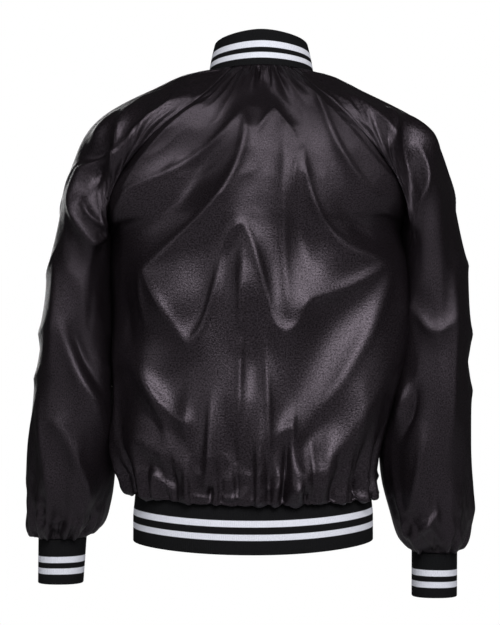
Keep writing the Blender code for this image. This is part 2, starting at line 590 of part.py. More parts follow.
def wall(name, outer, normals, thickness, finish, collection, ring=False):
    """Close a grid into a wall of cloth."""
    rows, columns = outer.shape[:2]
    across = np.roll(outer, -1, axis=1) - outer if ring else np.gradient(outer, axis=1)
    along = np.gradient(outer, axis=0)
    facing = np.sum(np.cross(across, along) * normals)
    verts = np.concatenate([outer.reshape(-1, 3), (outer - thickness * normals).reshape(-1, 3)])
    index = np.arange(rows * columns).reshape(rows, columns)
    if ring:
        index = np.concatenate([index, index[:, :1]], axis=1)
    if facing < 0:
        index = index[:, ::-1]
    inner = index + rows * columns
    outside = triangles(index, verts)
    faces = outside.tolist() + (outside[:, ::-1] + rows * columns).tolist()
    faces += strip(index[0], inner[0]) + strip(index[-1][::-1], inner[-1][::-1])
    if not ring:
        faces += strip(index[:, 0][::-1], inner[:, 0][::-1]) + strip(index[:, -1], inner[:, -1])
    return new_object(name, verts, faces, finish, collection)


def trim(line, inside, ring=False):
    """Move a seam line back into its panel, square to itself, by half of the seam's gap."""
    run = unit(np.roll(line, -1, axis=0) - np.roll(line, 1, axis=0) if ring else np.gradient(line, axis=0))
    step = inside - line
    step -= run * np.sum(step * run, axis=1, keepdims=True)
    return line + 0.5 * SEAM_GAP * unit(step)


def share(first, second):
    """Give two pieces one normal along their seam, except where they fold back on each
    other, as at the underarm."""
    both = unit(first + second + 1e-9)
    smoothly = np.sum(first * second, axis=1, keepdims=True) > 0.1
    return np.where(smoothly, both, first), np.where(smoothly, both, second)


def build_satin(collection):
    """The back, the fronts and the sleeves, with shared normals at their seams."""
    back = shape_back(back_grid())
    fronts = {side: shape_front(front_grid(side), side) for side in ("left", "right")}
    sleeves = {side: shape_sleeve(sleeve_grid(side), side) for side in ("left", "right")}
    back_n = grid_normals(back)
    front_n = {side: grid_normals(fronts[side]) for side in fronts}
    sleeve_n = {side: grid_normals(sleeves[side], ring=True) for side in sleeves}
    low = len(MIDDLE_X) - 1                      # row of the underarm
    top = low + UPPER_ROWS
    for side, column in (("left", 0), ("right", -1)):
        body_back, body_front, arm = back_n[:, column], front_n[side][:, -1], sleeve_n[side][0]
        body_back[:low + 1], body_front[:low + 1] = share(body_back[:low + 1], body_front[:low + 1])
        up = np.arange(1, UPPER_ROWS + 1)
        body_back[low + 1:top + 1], arm[up] = share(body_back[low + 1:top + 1], arm[up])
        down = SLEEVE_COLUMNS - up
        body_front[low + 1:top + 1], arm[down] = share(body_front[low + 1:top + 1], arm[down])
    for side, column, inside in (("left", 0, 1), ("right", -1, -2)):
        back[:, column] = trim(back[:, column], back[:, inside])
        fronts[side][:, -1] = trim(fronts[side][:, -1], fronts[side][:, -2])
        sleeves[side][0] = trim(sleeves[side][0], sleeves[side][1], ring=True)
    wall("back", back, back_n, SATIN, SATIN_BLACK, collection)
    for side in ("left", "right"):
        wall("front_" + side, fronts[side], front_n[side], SATIN, SATIN_BLACK, collection)
        wall("sleeve_" + side, sleeves[side], sleeve_n[side], SATIN, SATIN_BLACK, collection, ring=True)
    return fronts, front_n


def ribbed(name, outer, normals, finish, collection, ring, per_inner=6):
    """A wall of rib knit: ribs stand in the outer points, and the inside is plain and has one
    step for every per_inner steps outside, closed over the ends by fans."""
    rows, columns = outer.shape[:2]
    rise = np.where(np.arange(columns) % 2 == 0, 0.5, -0.5) * RIB_DEPTH
    raised = outer + normals * rise[None, :, None]
    keep = np.arange(0, columns, per_inner)
    if not ring and keep[-1] != columns - 1:
        keep = np.append(keep, columns - 1)
    inside = (outer - KNIT * normals)[:, keep]
    across = np.roll(outer, -1, axis=1) - outer if ring else np.gradient(outer, axis=1)
    facing = np.sum(np.cross(across, np.gradient(outer, axis=0)) * normals)
    verts = np.concatenate([raised.reshape(-1, 3), inside.reshape(-1, 3)])
    index = np.arange(rows * columns).reshape(rows, columns)
    inner = np.arange(rows * len(keep)).reshape(rows, len(keep)) + rows * columns
    places = keep
    if ring:
        index = np.concatenate([index, index[:, :1]], axis=1)
        inner = np.concatenate([inner, inner[:, :1]], axis=1)
        places = np.append(keep, columns)
    faces = quads(index) + quads(inner[:, ::-1])
    for row, turned in ((0, False), (rows - 1, True)):
        for k in range(len(places) - 1):
            first, last = places[k], places[k + 1]
            middle = (first + last) // 2
            for c in range(first, last):
                hub = inner[row, k] if c < middle else inner[row, k + 1]
                face = (index[row, c + 1], index[row, c], hub)
                faces.append(face[::-1] if turned else face)
            face = (index[row, middle], inner[row, k], inner[row, k + 1])
            faces.append(face[::-1] if turned else face)
    if not ring:
        faces += strip(index[:, 0][::-1], inner[:, 0][::-1]) + strip(index[:, -1], inner[:, -1])
    if facing < 0:
        faces = [tuple(reversed(face)) for face in faces]
    return new_object(name, verts, faces, finish, collection)


def rib_columns(length):
    """Grid steps round a band: two for each rib, a whole number of inner steps."""
    return 6 * max(4, round(length / RIB_PITCH / 3))


def build_collar(collection):
    """A standing band from the left end at the front round the back to the right end."""
    end = math.pi - COLLAR_ENDS / NECK["x"][3]
    seam = evenly(neck_ring(np.linspace(end, -end, 400)), rib_columns(COLLAR_LENGTH))
    turn = np.arctan2(seam[:, 0] - NECK_MIDDLE_X, seam[:, 1] + 0.004)
    size = np.degrees(np.abs(turn))
    scale, forward, rise = (round_neck(COLLAR, c, size) for c in ("scale", "forward", "up"))
    middle = np.array([NECK_MIDDLE_X, -0.006, 0.0])
    top = middle + (seam - middle) * np.stack([scale, scale, 1 + 0 * scale], axis=1)
    top += np.stack([0 * rise, -forward, rise], axis=1)
    rows = []
    for s in (0.0, 0.45, 1.0):
        lean = s ** 1.35
        row = np.stack([
            seam[:, 0] + (top[:, 0] - seam[:, 0]) * lean,
            seam[:, 1] + (top[:, 1] - seam[:, 1]) * lean,
            seam[:, 2] + (top[:, 2] - seam[:, 2]) * s,
        ], axis=1)
        rows.append(row)
    outer = np.array(rows)
    outer[0] += BAND_GAP * unit(outer[1] - outer[0])
    return ribbed("collar", outer, grid_normals(outer), KNIT_BLACK, collection, ring=False)


def waist_ring(steps):
    """The waist seam as one line: from the right end under the closing, round the right
    side, the back and the left side, to the left end over the closing."""
    middle = np.array([WAIST_MIDDLE_X, 0.0, 0.0])
    left, right = LOWER["left"][0], LOWER["right"][0]
    back, front = LOWER["back"][0], LOWER["front"][0]
    past = OVERLAP / left
    turn = np.linspace(-math.pi - past, math.pi + past, 1200)
    wrapped = (turn + math.pi) % (2 * math.pi) - math.pi
    s, c = np.sin(wrapped), np.cos(wrapped)
    power = 2.0 / ROUNDNESS
    x = np.sign(s) * np.abs(s) ** power
    y = np.sign(c) * np.abs(c) ** power
    width = np.where(x > 0, left, right)
    depth = np.where(y > 0, back, front)
    side_z = np.where(x > 0, LOWER["z_left"][0], LOWER["z_right"][0])
    end_z = np.where(y > 0, LOWER["z_back"][0], LOWER["z_front"][0])
    z = end_z + (side_z - end_z) * x * x
    points = middle + np.stack([x * width, y * depth, z], axis=1)
    over = (turn > math.pi / 2) | (turn < -math.pi)
    across = np.where(turn > math.pi / 2, points[:, 0] - WAIST_MIDDLE_X, 1.0)
    points[:, 1] -= np.where(over, overlap_step(across), 0.0)
    return evenly(points, steps)


def build_waistband(collection):
    """One band whose left end lies over its right end at the centre front."""
    length = np.linalg.norm(np.diff(waist_ring(2000), axis=0), axis=1).sum()
    top = waist_ring(rib_columns(length))
    rows = []
    out = top - np.array([WAIST_MIDDLE_X, 0.0, 0.0])
    out[:, 2] = 0.0
    falls = (BAND_GAP, 0.5 * WAISTBAND_HEIGHT, WAISTBAND_HEIGHT)
    for fall, flare in zip(falls, (-WAISTBAND_INSET, WAISTBAND_FLARE, WAISTBAND_HEM)):
        rows.append(top + flare * unit(out) - np.array([0.0, 0.0, fall]))
    outer = np.array(rows)
    return ribbed("waistband", outer, grid_normals(outer), KNIT_BLACK, collection, ring=False)


def build_cuff(side, collection):
    """A tube from the sleeve's last section to the wrist."""
    rows = SLEEVE[side]
    last = {name: rows[name][-1] for name in rows}
    size = CUFF[side]
    steps = rib_columns(CUFF_LENGTH)
    even = (0.0, np.linspace(0, 1, steps // 2 + 1))
    start = oval(last, steps // 2, even, even)
    end = dict(
        outer_x=size["end_x"] + math.copysign(size["half_x"], size["end_x"]), outer_z=size["end_z"],
        inner_x=size["end_x"] - math.copysign(size["half_x"], size["end_x"]), inner_z=size["end_z"],
        back=size["end_y"] + size["half_y"], front=size["end_y"] - size["half_y"],
    )
    finish = oval(end, steps // 2, even, even)
    outer = np.array([start + (finish - start) * s for s in (0.0, 0.5, 1.0)])
    outer[0] += BAND_GAP * unit(outer[1] - outer[0])
    normals = grid_normals(outer, ring=True)
    return ribbed("cuff_" + side, outer, normals, KNIT_BLACK, collection, ring=True, per_inner=3)


def turned(name, profile, place, normal, collection):
    """A turned piece: its profile is given by radius and height, its axis is the normal."""
    mesh = bpy.data.meshes.new(name)
    verts = [(radius, 0.0, height) for radius, height in profile]
    mesh.from_pydata(verts, [(k, k + 1) for k in range(len(verts) - 1)], [])
    mesh.materials.append(material(name, SNAP_BLACK))
    made = bpy.data.objects.new(name, mesh)
    made.location = place
    made.rotation_euler = Vector(normal).to_track_quat("Z", "X").to_euler()
    collection.objects.link(made)
    screw = made.modifiers.new("turn", "SCREW")
    screw.steps = screw.render_steps = SNAP_STEPS
    screw.use_merge_vertices = True
    screw.merge_threshold = 0.00001
    return made


def on_grid(grid, normals, height):
    """The point and the normal of a front's middle line at a height."""
    column = np.argmin(np.abs(grid[:, :, 0] - MIDDLE_X[0]).sum(axis=0))
    order = np.argsort(grid[:, column, 2])
    heights = grid[order, column, 2]
    point = [np.interp(height, heights, grid[order, column, k]) for k in range(3)]
    normal = [np.interp(height, heights, normals[order, column, k]) for k in range(3)]
    return np.array(point), unit(np.array(normal))


def build_snaps(fronts, front_n, collection):
    """Press studs down the closing: a domed cap on the left front, its back inside the right."""
    cap = [(0.0, SNAP_THICK), (0.6 * SNAP_RADIUS, 0.9 * SNAP_THICK),
           (0.92 * SNAP_RADIUS, 0.5 * SNAP_THICK), (SNAP_RADIUS, 0.0), (0.0, 0.0)]
    disc = [(0.0, SNAP_BACK_THICK), (0.8 * SNAP_BACK_RADIUS, SNAP_BACK_THICK),
            (SNAP_BACK_RADIUS, 0.0), (0.0, 0.0)]
    places = []
    for height in np.linspace(SNAP_TOP, SNAP_BOTTOM, SNAP_COUNT):
        outside, normal = on_grid(fronts["left"], front_n["left"], height)
        inside, under = on_grid(fronts["right"], front_n["right"], height)
        inside = inside - (SATIN + SNAP_SEAT) * under
        places.append((outside + SNAP_SEAT * normal, normal, inside, -under))
    front = LOWER["front"][0] + WAISTBAND_FLARE
    height = LOWER["z_front"][0] - 0.5 * WAISTBAND_HEIGHT
    outside = np.array([WAIST_MIDDLE_X, -front - OVERLAP_STEP - RIB_DEPTH - SNAP_SEAT, height])
    inside = np.array([WAIST_MIDDLE_X, -front + KNIT + 2.0 * SNAP_SEAT, height])
    forward = np.array([0.0, -1.0, 0.0])
    places.append((outside, forward, inside, -forward))
    for k, (outside, normal, inside, inward) in enumerate(places, start=1):
        turned(f"snap_cap_{k}", cap, outside, normal, collection)
        turned(f"snap_back_{k}", disc, inside, inward, collection)


# ---------------------------------------------------------------- build
def main():
    for made in list(bpy.data.objects):
        bpy.data.objects.remove(made, do_unlink=True)
    collection = bpy.data.collections.new("satin_baseball_jacket")
    bpy.context.scene.collection.children.link(collection)
    fronts, front_n = build_satin(collection)
    build_snaps(fronts, front_n, collection)
    build_collar(collection)
    build_waistband(collection)
    for side in ("left", "right"):
        build_cuff(side, collection)


main()
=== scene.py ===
# %% [markdown]
# # A satin baseball jacket, seen from the back
#
# This lesson dresses a simple solid jacket in real cloth.  The solids already have the cut,
# the size and the pose.  Each piece below is laid on its solid: thin satin with its folds
# and gathers, and rib knit with two white stripes.  The press studs are the solids' own.
# Everything is in metres, +Z is up, and the back of the jacket faces +Y.

# %% Load the frame
import json
import math

import bpy
import numpy as np
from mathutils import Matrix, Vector

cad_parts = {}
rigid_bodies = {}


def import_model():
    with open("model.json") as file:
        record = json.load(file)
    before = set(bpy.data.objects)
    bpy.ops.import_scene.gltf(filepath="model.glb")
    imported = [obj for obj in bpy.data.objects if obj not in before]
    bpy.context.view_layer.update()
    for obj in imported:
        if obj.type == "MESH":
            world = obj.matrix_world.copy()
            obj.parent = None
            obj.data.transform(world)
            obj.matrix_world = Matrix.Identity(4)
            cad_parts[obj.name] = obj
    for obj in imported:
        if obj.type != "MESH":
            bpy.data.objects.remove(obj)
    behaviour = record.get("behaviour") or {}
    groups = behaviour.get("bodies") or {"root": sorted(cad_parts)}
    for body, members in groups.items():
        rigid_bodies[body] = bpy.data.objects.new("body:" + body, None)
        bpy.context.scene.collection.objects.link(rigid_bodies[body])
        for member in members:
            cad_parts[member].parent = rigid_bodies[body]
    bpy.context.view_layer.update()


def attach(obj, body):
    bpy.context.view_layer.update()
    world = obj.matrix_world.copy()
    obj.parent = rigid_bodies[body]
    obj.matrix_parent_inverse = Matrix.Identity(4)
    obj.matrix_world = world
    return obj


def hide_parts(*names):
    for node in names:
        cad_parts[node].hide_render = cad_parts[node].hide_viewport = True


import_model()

# %% [markdown]
# ## Where the camera stands
#
# The jacket was photographed from straight behind, about three metres away and level with
# the middle of the back.  A long lens keeps the sides from bulging.  The field of view is
# worked out from one fact: how many metres one pixel covers at the jacket's middle plane.

# %% Camera
FRAME_PX = (500, 625)             # the photograph's width and height
METRES_PER_PX = 0.00147           # at the plane through the neck
CAMERA_DISTANCE = 3.2
CAMERA_HEIGHT = -0.357            # level with the middle of the picture
CAMERA_X = 0.010

camera_data = bpy.data.cameras.new("camera")
camera_data.sensor_fit = "VERTICAL"
camera_data.sensor_height = 24.0
camera_data.lens = 24.0 * CAMERA_DISTANCE / (FRAME_PX[1] * METRES_PER_PX)
camera = bpy.data.objects.new("camera", camera_data)
camera.location = (CAMERA_X, CAMERA_DISTANCE, CAMERA_HEIGHT)
camera.rotation_euler = (math.radians(90), 0.0, math.radians(180))
bpy.context.scene.collection.objects.link(camera)
bpy.context.scene.camera = camera
print("lens, mm:", round(camera_data.lens, 1))

# %% [markdown]
# ## Curves and grids
#
# Every piece of cloth is a grid of points.  The rows and columns of a coarse grid come from
# named sizes, and a cubic curve through them makes the fine grid that shows.

# %% Helpers for curves
def table(columns, rows):
    """One array for each named column."""
    return dict(zip(columns.split(), np.array(rows, dtype=float).T))


def smooth(x):
    """3x^2 - 2x^3 between 0 and 1, and flat outside."""
    x = np.clip(x, 0.0, 1.0)
    return x * x * (3.0 - 2.0 * x)


def unit(vectors):
    """The vectors at length 1."""
    return vectors / np.linalg.norm(vectors, axis=-1, keepdims=True)


def along_line(points):
    """Distance along a line of points, from 0."""
    return np.concatenate([[0.0], np.cumsum(np.linalg.norm(np.diff(points, axis=0), axis=1))])


def at_fractions(points, fractions):
    """The points of a line at fractions of its length."""
    along = along_line(points)
    return np.stack([np.interp(fractions, along / along[-1], points[:, k]) for k in range(3)], axis=1)


def evenly(points, steps):
    """The points of a line, evenly spaced."""
    return at_fractions(points, np.linspace(0.0, 1.0, steps + 1))


def cubic(places, knots, values):
    """Hermite cubics between the knots, with each slope taken from the two neighbours:
    (1+2s)(1-s)^2 a + s(1-s)^2 h a' + s^2(3-2s) b + s^2(s-1) h b'."""
    slopes = np.gradient(values, knots, axis=0)
    k = np.clip(np.searchsorted(knots, places, side="right") - 1, 0, len(knots) - 2)
    h = knots[k + 1] - knots[k]
    s = (places - knots[k]) / h
    if values.ndim > 1:
        extra = (slice(None),) + (None,) * (values.ndim - 1)
        s, h = s[extra], h[extra]
    return ((1 + 2 * s) * (1 - s) ** 2 * values[k] + s * (1 - s) ** 2 * h * slopes[k]
            + s * s * (3 - 2 * s) * values[k + 1] + s * s * (s - 1) * h * slopes[k + 1])


def refine(values, steps):
    """A smooth curve (or surface, along its first axis) through evenly numbered knots."""
    knots = np.arange(len(values), dtype=float)
    return cubic(np.linspace(0.0, knots[-1], steps + 1), knots, values)


def refine_grid(grid, rows, columns, ring=False):
    """The coarse grid as a fine one; a ring is closed along its columns."""
    fine = refine(grid, rows)
    across = fine.transpose(1, 0, 2)
    if not ring:
        return refine(across, columns).transpose(1, 0, 2)
    count = len(across)
    wrapped = np.concatenate([across[-3:], across, across[:3]])
    knots = np.arange(-3.0, count + 3.0)
    places = np.arange(columns) * (count / columns)
    return cubic(places, knots, wrapped).transpose(1, 0, 2)


def line_through(rows, steps):
    """A smooth line through a table's x, y and z."""
    points = np.stack([rows[c] for c in "xyz"], axis=1)
    return evenly(refine(points, 200), steps)


# %% [markdown]
# ## The cut of the jacket
#
# These tables are the jacket's own sizes, the same ones as the solids'.  The torso is an
# oval at each height, the raglan seams are lines in space, and a sleeve is a row of ovals
# that fan out from the raglan seam and run down to the cuff.

# %% Sizes of the torso and the neck
BACK_COLUMNS, FRONT_COLUMNS, UPPER_ROWS, NECK_STEPS = 24, 20, 10, 8
SLEEVE_COLUMNS = 2 * UPPER_ROWS + NECK_STEPS
ROUNDNESS, SLEEVE_ROUNDNESS = 2.4, 2.25
NECK_MIDDLE_X, WAIST_MIDDLE_X = -0.0065, 0.0045
NECK_BACK_ANGLE, NECK_FRONT_ANGLE = math.radians(31), math.radians(127)
OVERLAP, OVERLAP_STEP = 0.015, 0.0048       # how far the left front reaches, and stands out
OVERLAP_END, OVERLAP_RAMP = 0.019, 0.030    # where it starts back to the body, and over how far
CLOSING_REACH, CLOSING_RAMP = 0.022, 0.045

LOWER = table("z_back z_left z_right z_front z_closing left right back front closing", [
    (-0.6225, -0.6130, -0.6110, -0.6120, -0.612, 0.1735, 0.1715, 0.1195, 0.1250, 0.1250),  # waist seam
    (-0.6290, -0.6210, -0.6260, -0.6220, -0.604, 0.1795, 0.1792, 0.1300, 0.1360, 0.1275),  # over the knit
    (-0.6130, -0.6080, -0.6080, -0.6090, -0.593, 0.1861, 0.1790, 0.1375, 0.1460, 0.1310),
    (-0.5850, -0.5830, -0.5830, -0.5830, -0.576, 0.1957, 0.1785, 0.1410, 0.1510, 0.1355),
    (-0.5500, -0.5500, -0.5500, -0.5500, -0.550, 0.2035, 0.1815, 0.1415, 0.1520, 0.1400),  # fullest
    (-0.5050, -0.5050, -0.5050, -0.5050, -0.505, 0.2055, 0.1880, 0.1400, 0.1500, 0.1430),
    (-0.4550, -0.4550, -0.4550, -0.4550, -0.455, 0.2085, 0.1945, 0.1380, 0.1475, 0.1440),
    (-0.4000, -0.4000, -0.4000, -0.4000, -0.400, 0.2120, 0.2035, 0.1355, 0.1445, 0.1430),
    (-0.3450, -0.3450, -0.3450, -0.3450, -0.345, 0.2130, 0.2110, 0.1335, 0.1410, 0.1405),
    (-0.2900, -0.2900, -0.2900, -0.2900, -0.290, 0.2145, 0.2155, 0.1320, 0.1370, 0.1370),
    (-0.2380, -0.2380, -0.2380, -0.2380, -0.238, 0.2120, 0.2120, 0.1310, 0.1310, 0.1310),  # underarm
])
MIDDLE_X = np.linspace(WAIST_MIDDLE_X, -0.001, len(LOWER["left"]))
CENTRE_BACK = table("x y z", [
    (-0.001, 0.131, -0.238), (-0.002, 0.132, -0.185), (-0.003, 0.126, -0.125),
    (-0.004, 0.112, -0.075), (-0.005, 0.090, -0.035), (NECK_MIDDLE_X, 0.062, 0.001),
])
CENTRE_FRONT = table("x y z", [
    (-0.001, -0.131, -0.238), (-0.001, -0.124, -0.190), (-0.002, -0.110, -0.145),
    (-0.003, -0.093, -0.110), (-0.004, -0.078, -0.086),
])
NECK = table("angle x y z", [
    (0, 0.000, 0.0620, 0.0010), (31, 0.0410, 0.0530, -0.0010), (60, 0.0680, 0.0290, -0.0050),
    (90, 0.0770, -0.0040, -0.0120), (127, 0.0625, -0.0480, -0.0410),
    (155, 0.0330, -0.0700, -0.0700), (180, 0.0000, -0.0780, -0.0860),
])

# %% Raglan seams, from the underarm up to the neck
RAGLAN = {
    ("left", "back"): table("x y z", [
        (0.212, 0.000, -0.238), (0.213, 0.046, -0.208), (0.204, 0.080, -0.172),
        (0.180, 0.101, -0.139), (0.151, 0.109, -0.107), (0.119, 0.107, -0.077),
        (0.079, 0.094, -0.047), (0.035, 0.053, -0.001)]),
    ("right", "back"): table("x y z", [
        (-0.213, 0.000, -0.238), (-0.216, 0.046, -0.208), (-0.212, 0.078, -0.178),
        (-0.190, 0.099, -0.148), (-0.163, 0.109, -0.115), (-0.130, 0.108, -0.077),
        (-0.092, 0.094, -0.040), (-0.047, 0.053, -0.001)]),
    ("left", "front"): table("x y z", [
        (0.212, 0.000, -0.238), (0.211, -0.044, -0.212), (0.202, -0.076, -0.182),
        (0.178, -0.095, -0.150), (0.145, -0.101, -0.118), (0.108, -0.096, -0.088),
        (0.056, -0.048, -0.041)]),
    ("right", "front"): table("x y z", [
        (-0.213, 0.000, -0.238), (-0.213, -0.044, -0.212), (-0.206, -0.076, -0.182),
        (-0.186, -0.095, -0.150), (-0.155, -0.101, -0.118), (-0.120, -0.096, -0.088),
        (-0.069, -0.048, -0.041)]),
}

# %% Sections of the sleeves, from the raglan seam to the cuff
# the outline and the underarm seam, as the photograph shows them from behind
SLEEVE = {
    "left": table("outer_x outer_z inner_x inner_z", [
        (0.070, -0.010, 0.2120, -0.238), (0.112, -0.014, 0.2140, -0.243), (0.152, -0.031, 0.2150, -0.248),
        (0.192, -0.050, 0.2158, -0.254), (0.227, -0.072, 0.2163, -0.261), (0.254, -0.099, 0.2166, -0.270),
        (0.271, -0.135, 0.2168, -0.282), (0.285, -0.183, 0.2166, -0.299), (0.297, -0.240, 0.2162, -0.323),
        (0.308, -0.300, 0.2152, -0.357), (0.317, -0.365, 0.2142, -0.402), (0.325, -0.430, 0.2110, -0.450),
        (0.332, -0.495, 0.2086, -0.502), (0.338, -0.550, 0.2075, -0.552), (0.340, -0.598, 0.2105, -0.598),
        (0.3405, -0.640, 0.2165, -0.638), (0.3385, -0.674, 0.2280, -0.672), (0.3260, -0.694, 0.2545, -0.692),
    ]),
    "right": table("outer_x outer_z inner_x inner_z", [
        (-0.083, -0.010, -0.2130, -0.238), (-0.118, -0.016, -0.2150, -0.243),
        (-0.156, -0.034, -0.2162, -0.248), (-0.193, -0.052, -0.2170, -0.254),
        (-0.229, -0.073, -0.2176, -0.261), (-0.257, -0.096, -0.2180, -0.270),
        (-0.275, -0.130, -0.2180, -0.282), (-0.291, -0.184, -0.2172, -0.299),
        (-0.302, -0.240, -0.2150, -0.323), (-0.312, -0.300, -0.2115, -0.357),
        (-0.315, -0.365, -0.2050, -0.402), (-0.316, -0.430, -0.1965, -0.450),
        (-0.318, -0.495, -0.1885, -0.502), (-0.319, -0.550, -0.1812, -0.555),
        (-0.3195, -0.605, -0.1862, -0.606), (-0.318, -0.652, -0.1980, -0.652),
        (-0.3135, -0.693, -0.2110, -0.692), (-0.2995, -0.715, -0.2320, -0.713),
    ]),
}
# how far each section reaches to the back and to the front
SLEEVE_DEPTH = table("back front", [
    (0.100, -0.092), (0.103, -0.096), (0.105, -0.098), (0.104, -0.098), (0.100, -0.097), (0.095, -0.096),
    (0.090, -0.095), (0.086, -0.094), (0.081, -0.093), (0.076, -0.092), (0.071, -0.092), (0.065, -0.093),
    (0.058, -0.096), (0.050, -0.099), (0.040, -0.103), (0.028, -0.107), (0.012, -0.108), (-0.020, -0.092),
])
for sections in SLEEVE.values():
    sections.update(SLEEVE_DEPTH)
SEAM_FADE = [1.0, 0.66, 0.36, 0.14, 0.03]   # how much of the raglan seam's shape each section keeps
SPACING_ROWS = 9                            # sections over which the points even out

# %% Coarse grids of the torso
def round_neck(rows, column, size, odd=False):
    """A column of a table by its angle, 0 to 180 degrees, running on smoothly through the
    centre back and the centre front; odd where the other half has the opposite sign."""
    angle, values, sign = rows["angle"], rows[column], -1.0 if odd else 1.0
    knots = np.concatenate([[-angle[1]], angle, [360.0 - angle[-2]]])
    return cubic(size, knots, np.concatenate([[sign * values[1]], values, [sign * values[-2]]]))


def neck_ring(angles):
    """Points of the neck seam; an angle is from the centre back, to the left where positive."""
    size = np.degrees(np.abs(angles))
    x = np.sign(angles) * round_neck(NECK, "x", size, odd=True) + NECK_MIDDLE_X
    return np.stack([x, round_neck(NECK, "y", size), round_neck(NECK, "z", size)], axis=1)


def half_row(middle, edge, power, steps, start=0.0):
    """From the middle line to an edge: x runs straight over with t, the depth falls as
    (1 - t^ROUNDNESS)^(1/power) and the height changes as t^2."""
    t = np.sin(np.linspace(math.asin(start), math.pi / 2, 300))
    bulge = (1.0 - np.abs(t) ** ROUNDNESS) ** (1.0 / power)
    points = np.stack([
        middle[0] + (edge[0] - middle[0]) * t,
        edge[1] + (middle[1] - edge[1]) * bulge,
        middle[2] + (edge[2] - middle[2]) * t * t,
    ], axis=1)
    return evenly(points, steps)


def torso_lines(side, face):
    """The middle line and the edge of one half of the torso, from the waist to the neck."""
    sign = 1.0 if side == "left" else -1.0
    facing = 1.0 if face == "back" else -1.0
    middle_low = np.stack([MIDDLE_X, facing * LOWER[face], LOWER["z_" + face]], axis=1)
    edge_low = np.stack([MIDDLE_X + sign * LOWER[side], 0.0 * MIDDLE_X, LOWER["z_" + side]], axis=1)
    middle_up = line_through(CENTRE_BACK if face == "back" else CENTRE_FRONT, UPPER_ROWS)
    edge_up = line_through(RAGLAN[side, face], UPPER_ROWS)
    neck_angle = NECK_BACK_ANGLE if face == "back" else NECK_FRONT_ANGLE
    edge_up[-1] = neck_ring(np.array([sign * neck_angle]))[0]
    edge_low[-1] = edge_up[0]
    rise = smooth(np.arange(UPPER_ROWS + 1) / 5.0)
    power = np.concatenate([np.full(len(MIDDLE_X), ROUNDNESS), ROUNDNESS + (1.0 - ROUNDNESS) * rise[1:]])
    return np.concatenate([middle_low, middle_up[1:]]), np.concatenate([edge_low, edge_up[1:]]), power


def back_grid():
    """Rows from the waist to the neck, columns from the left edge to the right edge."""
    halves = []
    for side in ("left", "right"):
        middle, edge, power = torso_lines(side, "back")
        halves.append(np.array([half_row(m, e, p, BACK_COLUMNS) for m, e, p in zip(middle, edge, power)]))
    grid = np.concatenate([halves[0][:, ::-1], halves[1][:, 1:]], axis=1)
    grid[-1] = neck_ring(np.linspace(NECK_BACK_ANGLE, -NECK_BACK_ANGLE, 2 * BACK_COLUMNS + 1))
    return grid


def overlap_step(across):
    """How far the left side of the closing lies outside; across is measured to the left."""
    return OVERLAP_STEP * smooth((OVERLAP_END + OVERLAP_RAMP - across) / OVERLAP_RAMP)


def front_grid(side):
    """Rows from the waist to the neck, columns from past the middle out to the edge."""
    sign = 1.0 if side == "left" else -1.0
    middle, edge, power = torso_lines(side, "front")
    rows = []
    for m, e, p in zip(middle, edge, power):
        rows.append(half_row(m, e, p, FRONT_COLUMNS, -OVERLAP / abs(e[0] - m[0])))
    grid = np.array(rows)
    turned = np.linspace(math.pi + OVERLAP / NECK["x"][3], NECK_FRONT_ANGLE, FRONT_COLUMNS + 1)
    past = turned > math.pi
    top = neck_ring(sign * np.where(past, 2.0 * math.pi - turned, turned))
    top[:, 0] = np.where(past, 2.0 * NECK_MIDDLE_X - top[:, 0], top[:, 0])
    grid[-1] = top
    across = sign * (grid[:, :, 0] - middle[:, :1])
    flat = 1.0 - smooth((np.abs(across) - CLOSING_REACH) / CLOSING_RAMP)
    low = len(MIDDLE_X)
    grid[:low, :, 1] += flat[:low] * (LOWER["front"] - LOWER["closing"])[:, None]
    grid[:low, :, 2] += flat[:low] * (LOWER["z_closing"] - LOWER["z_front"])[:, None]
    if side == "left":
        grid[:, :, 1] -= overlap_step(across)
    return grid


# %% Coarse grids of the sleeves
def oval(row, count, spread_back, spread_front):
    """One section of a sleeve.  With a turn from 0 to pi, the points run from the underarm
    to the outside as |cos|^(2/n) and stand back (or front) as sin^(2/n)."""
    outer = np.array([row["outer_x"], 0.0, row["outer_z"]])
    inner = np.array([row["inner_x"], 0.0, row["inner_z"]])
    middle_y, half_y = 0.5 * (row["back"] + row["front"]), 0.5 * (row["back"] - row["front"])
    turn = np.linspace(0.0, math.pi, 200)
    across = np.sign(np.cos(turn)) * np.abs(np.cos(turn)) ** (2.0 / SLEEVE_ROUNDNESS)
    deep = np.abs(np.sin(turn)) ** (2.0 / SLEEVE_ROUNDNESS)
    base = 0.5 * (outer + inner) + 0.5 * (inner - outer) * across[:, None]
    back = base + np.stack([0 * deep, middle_y + half_y * deep, 0 * deep], axis=1)
    front = base[::-1] + np.stack([0 * deep, middle_y - half_y * deep, 0 * deep], axis=1)
    even = np.linspace(0, 1, count + 1)
    first = at_fractions(back, (1 - spread_back[0]) * even + spread_back[0] * spread_back[1])
    second = at_fractions(front, (1 - spread_front[0]) * even + spread_front[0] * spread_front[1])
    return np.concatenate([first[:-1], second[:-1]])


def seam_ring(side):
    """A sleeve's first ring: up the back raglan seam, along the neck, down the front one."""
    sign = 1.0 if side == "left" else -1.0
    back_edge = torso_lines(side, "back")[1][-UPPER_ROWS - 1:]
    front_edge = torso_lines(side, "front")[1][-UPPER_ROWS - 1:]
    neck = neck_ring(sign * np.linspace(NECK_BACK_ANGLE, NECK_FRONT_ANGLE, NECK_STEPS + 1))
    return np.concatenate([back_edge, neck[1:], front_edge[::-1][1:-1]])


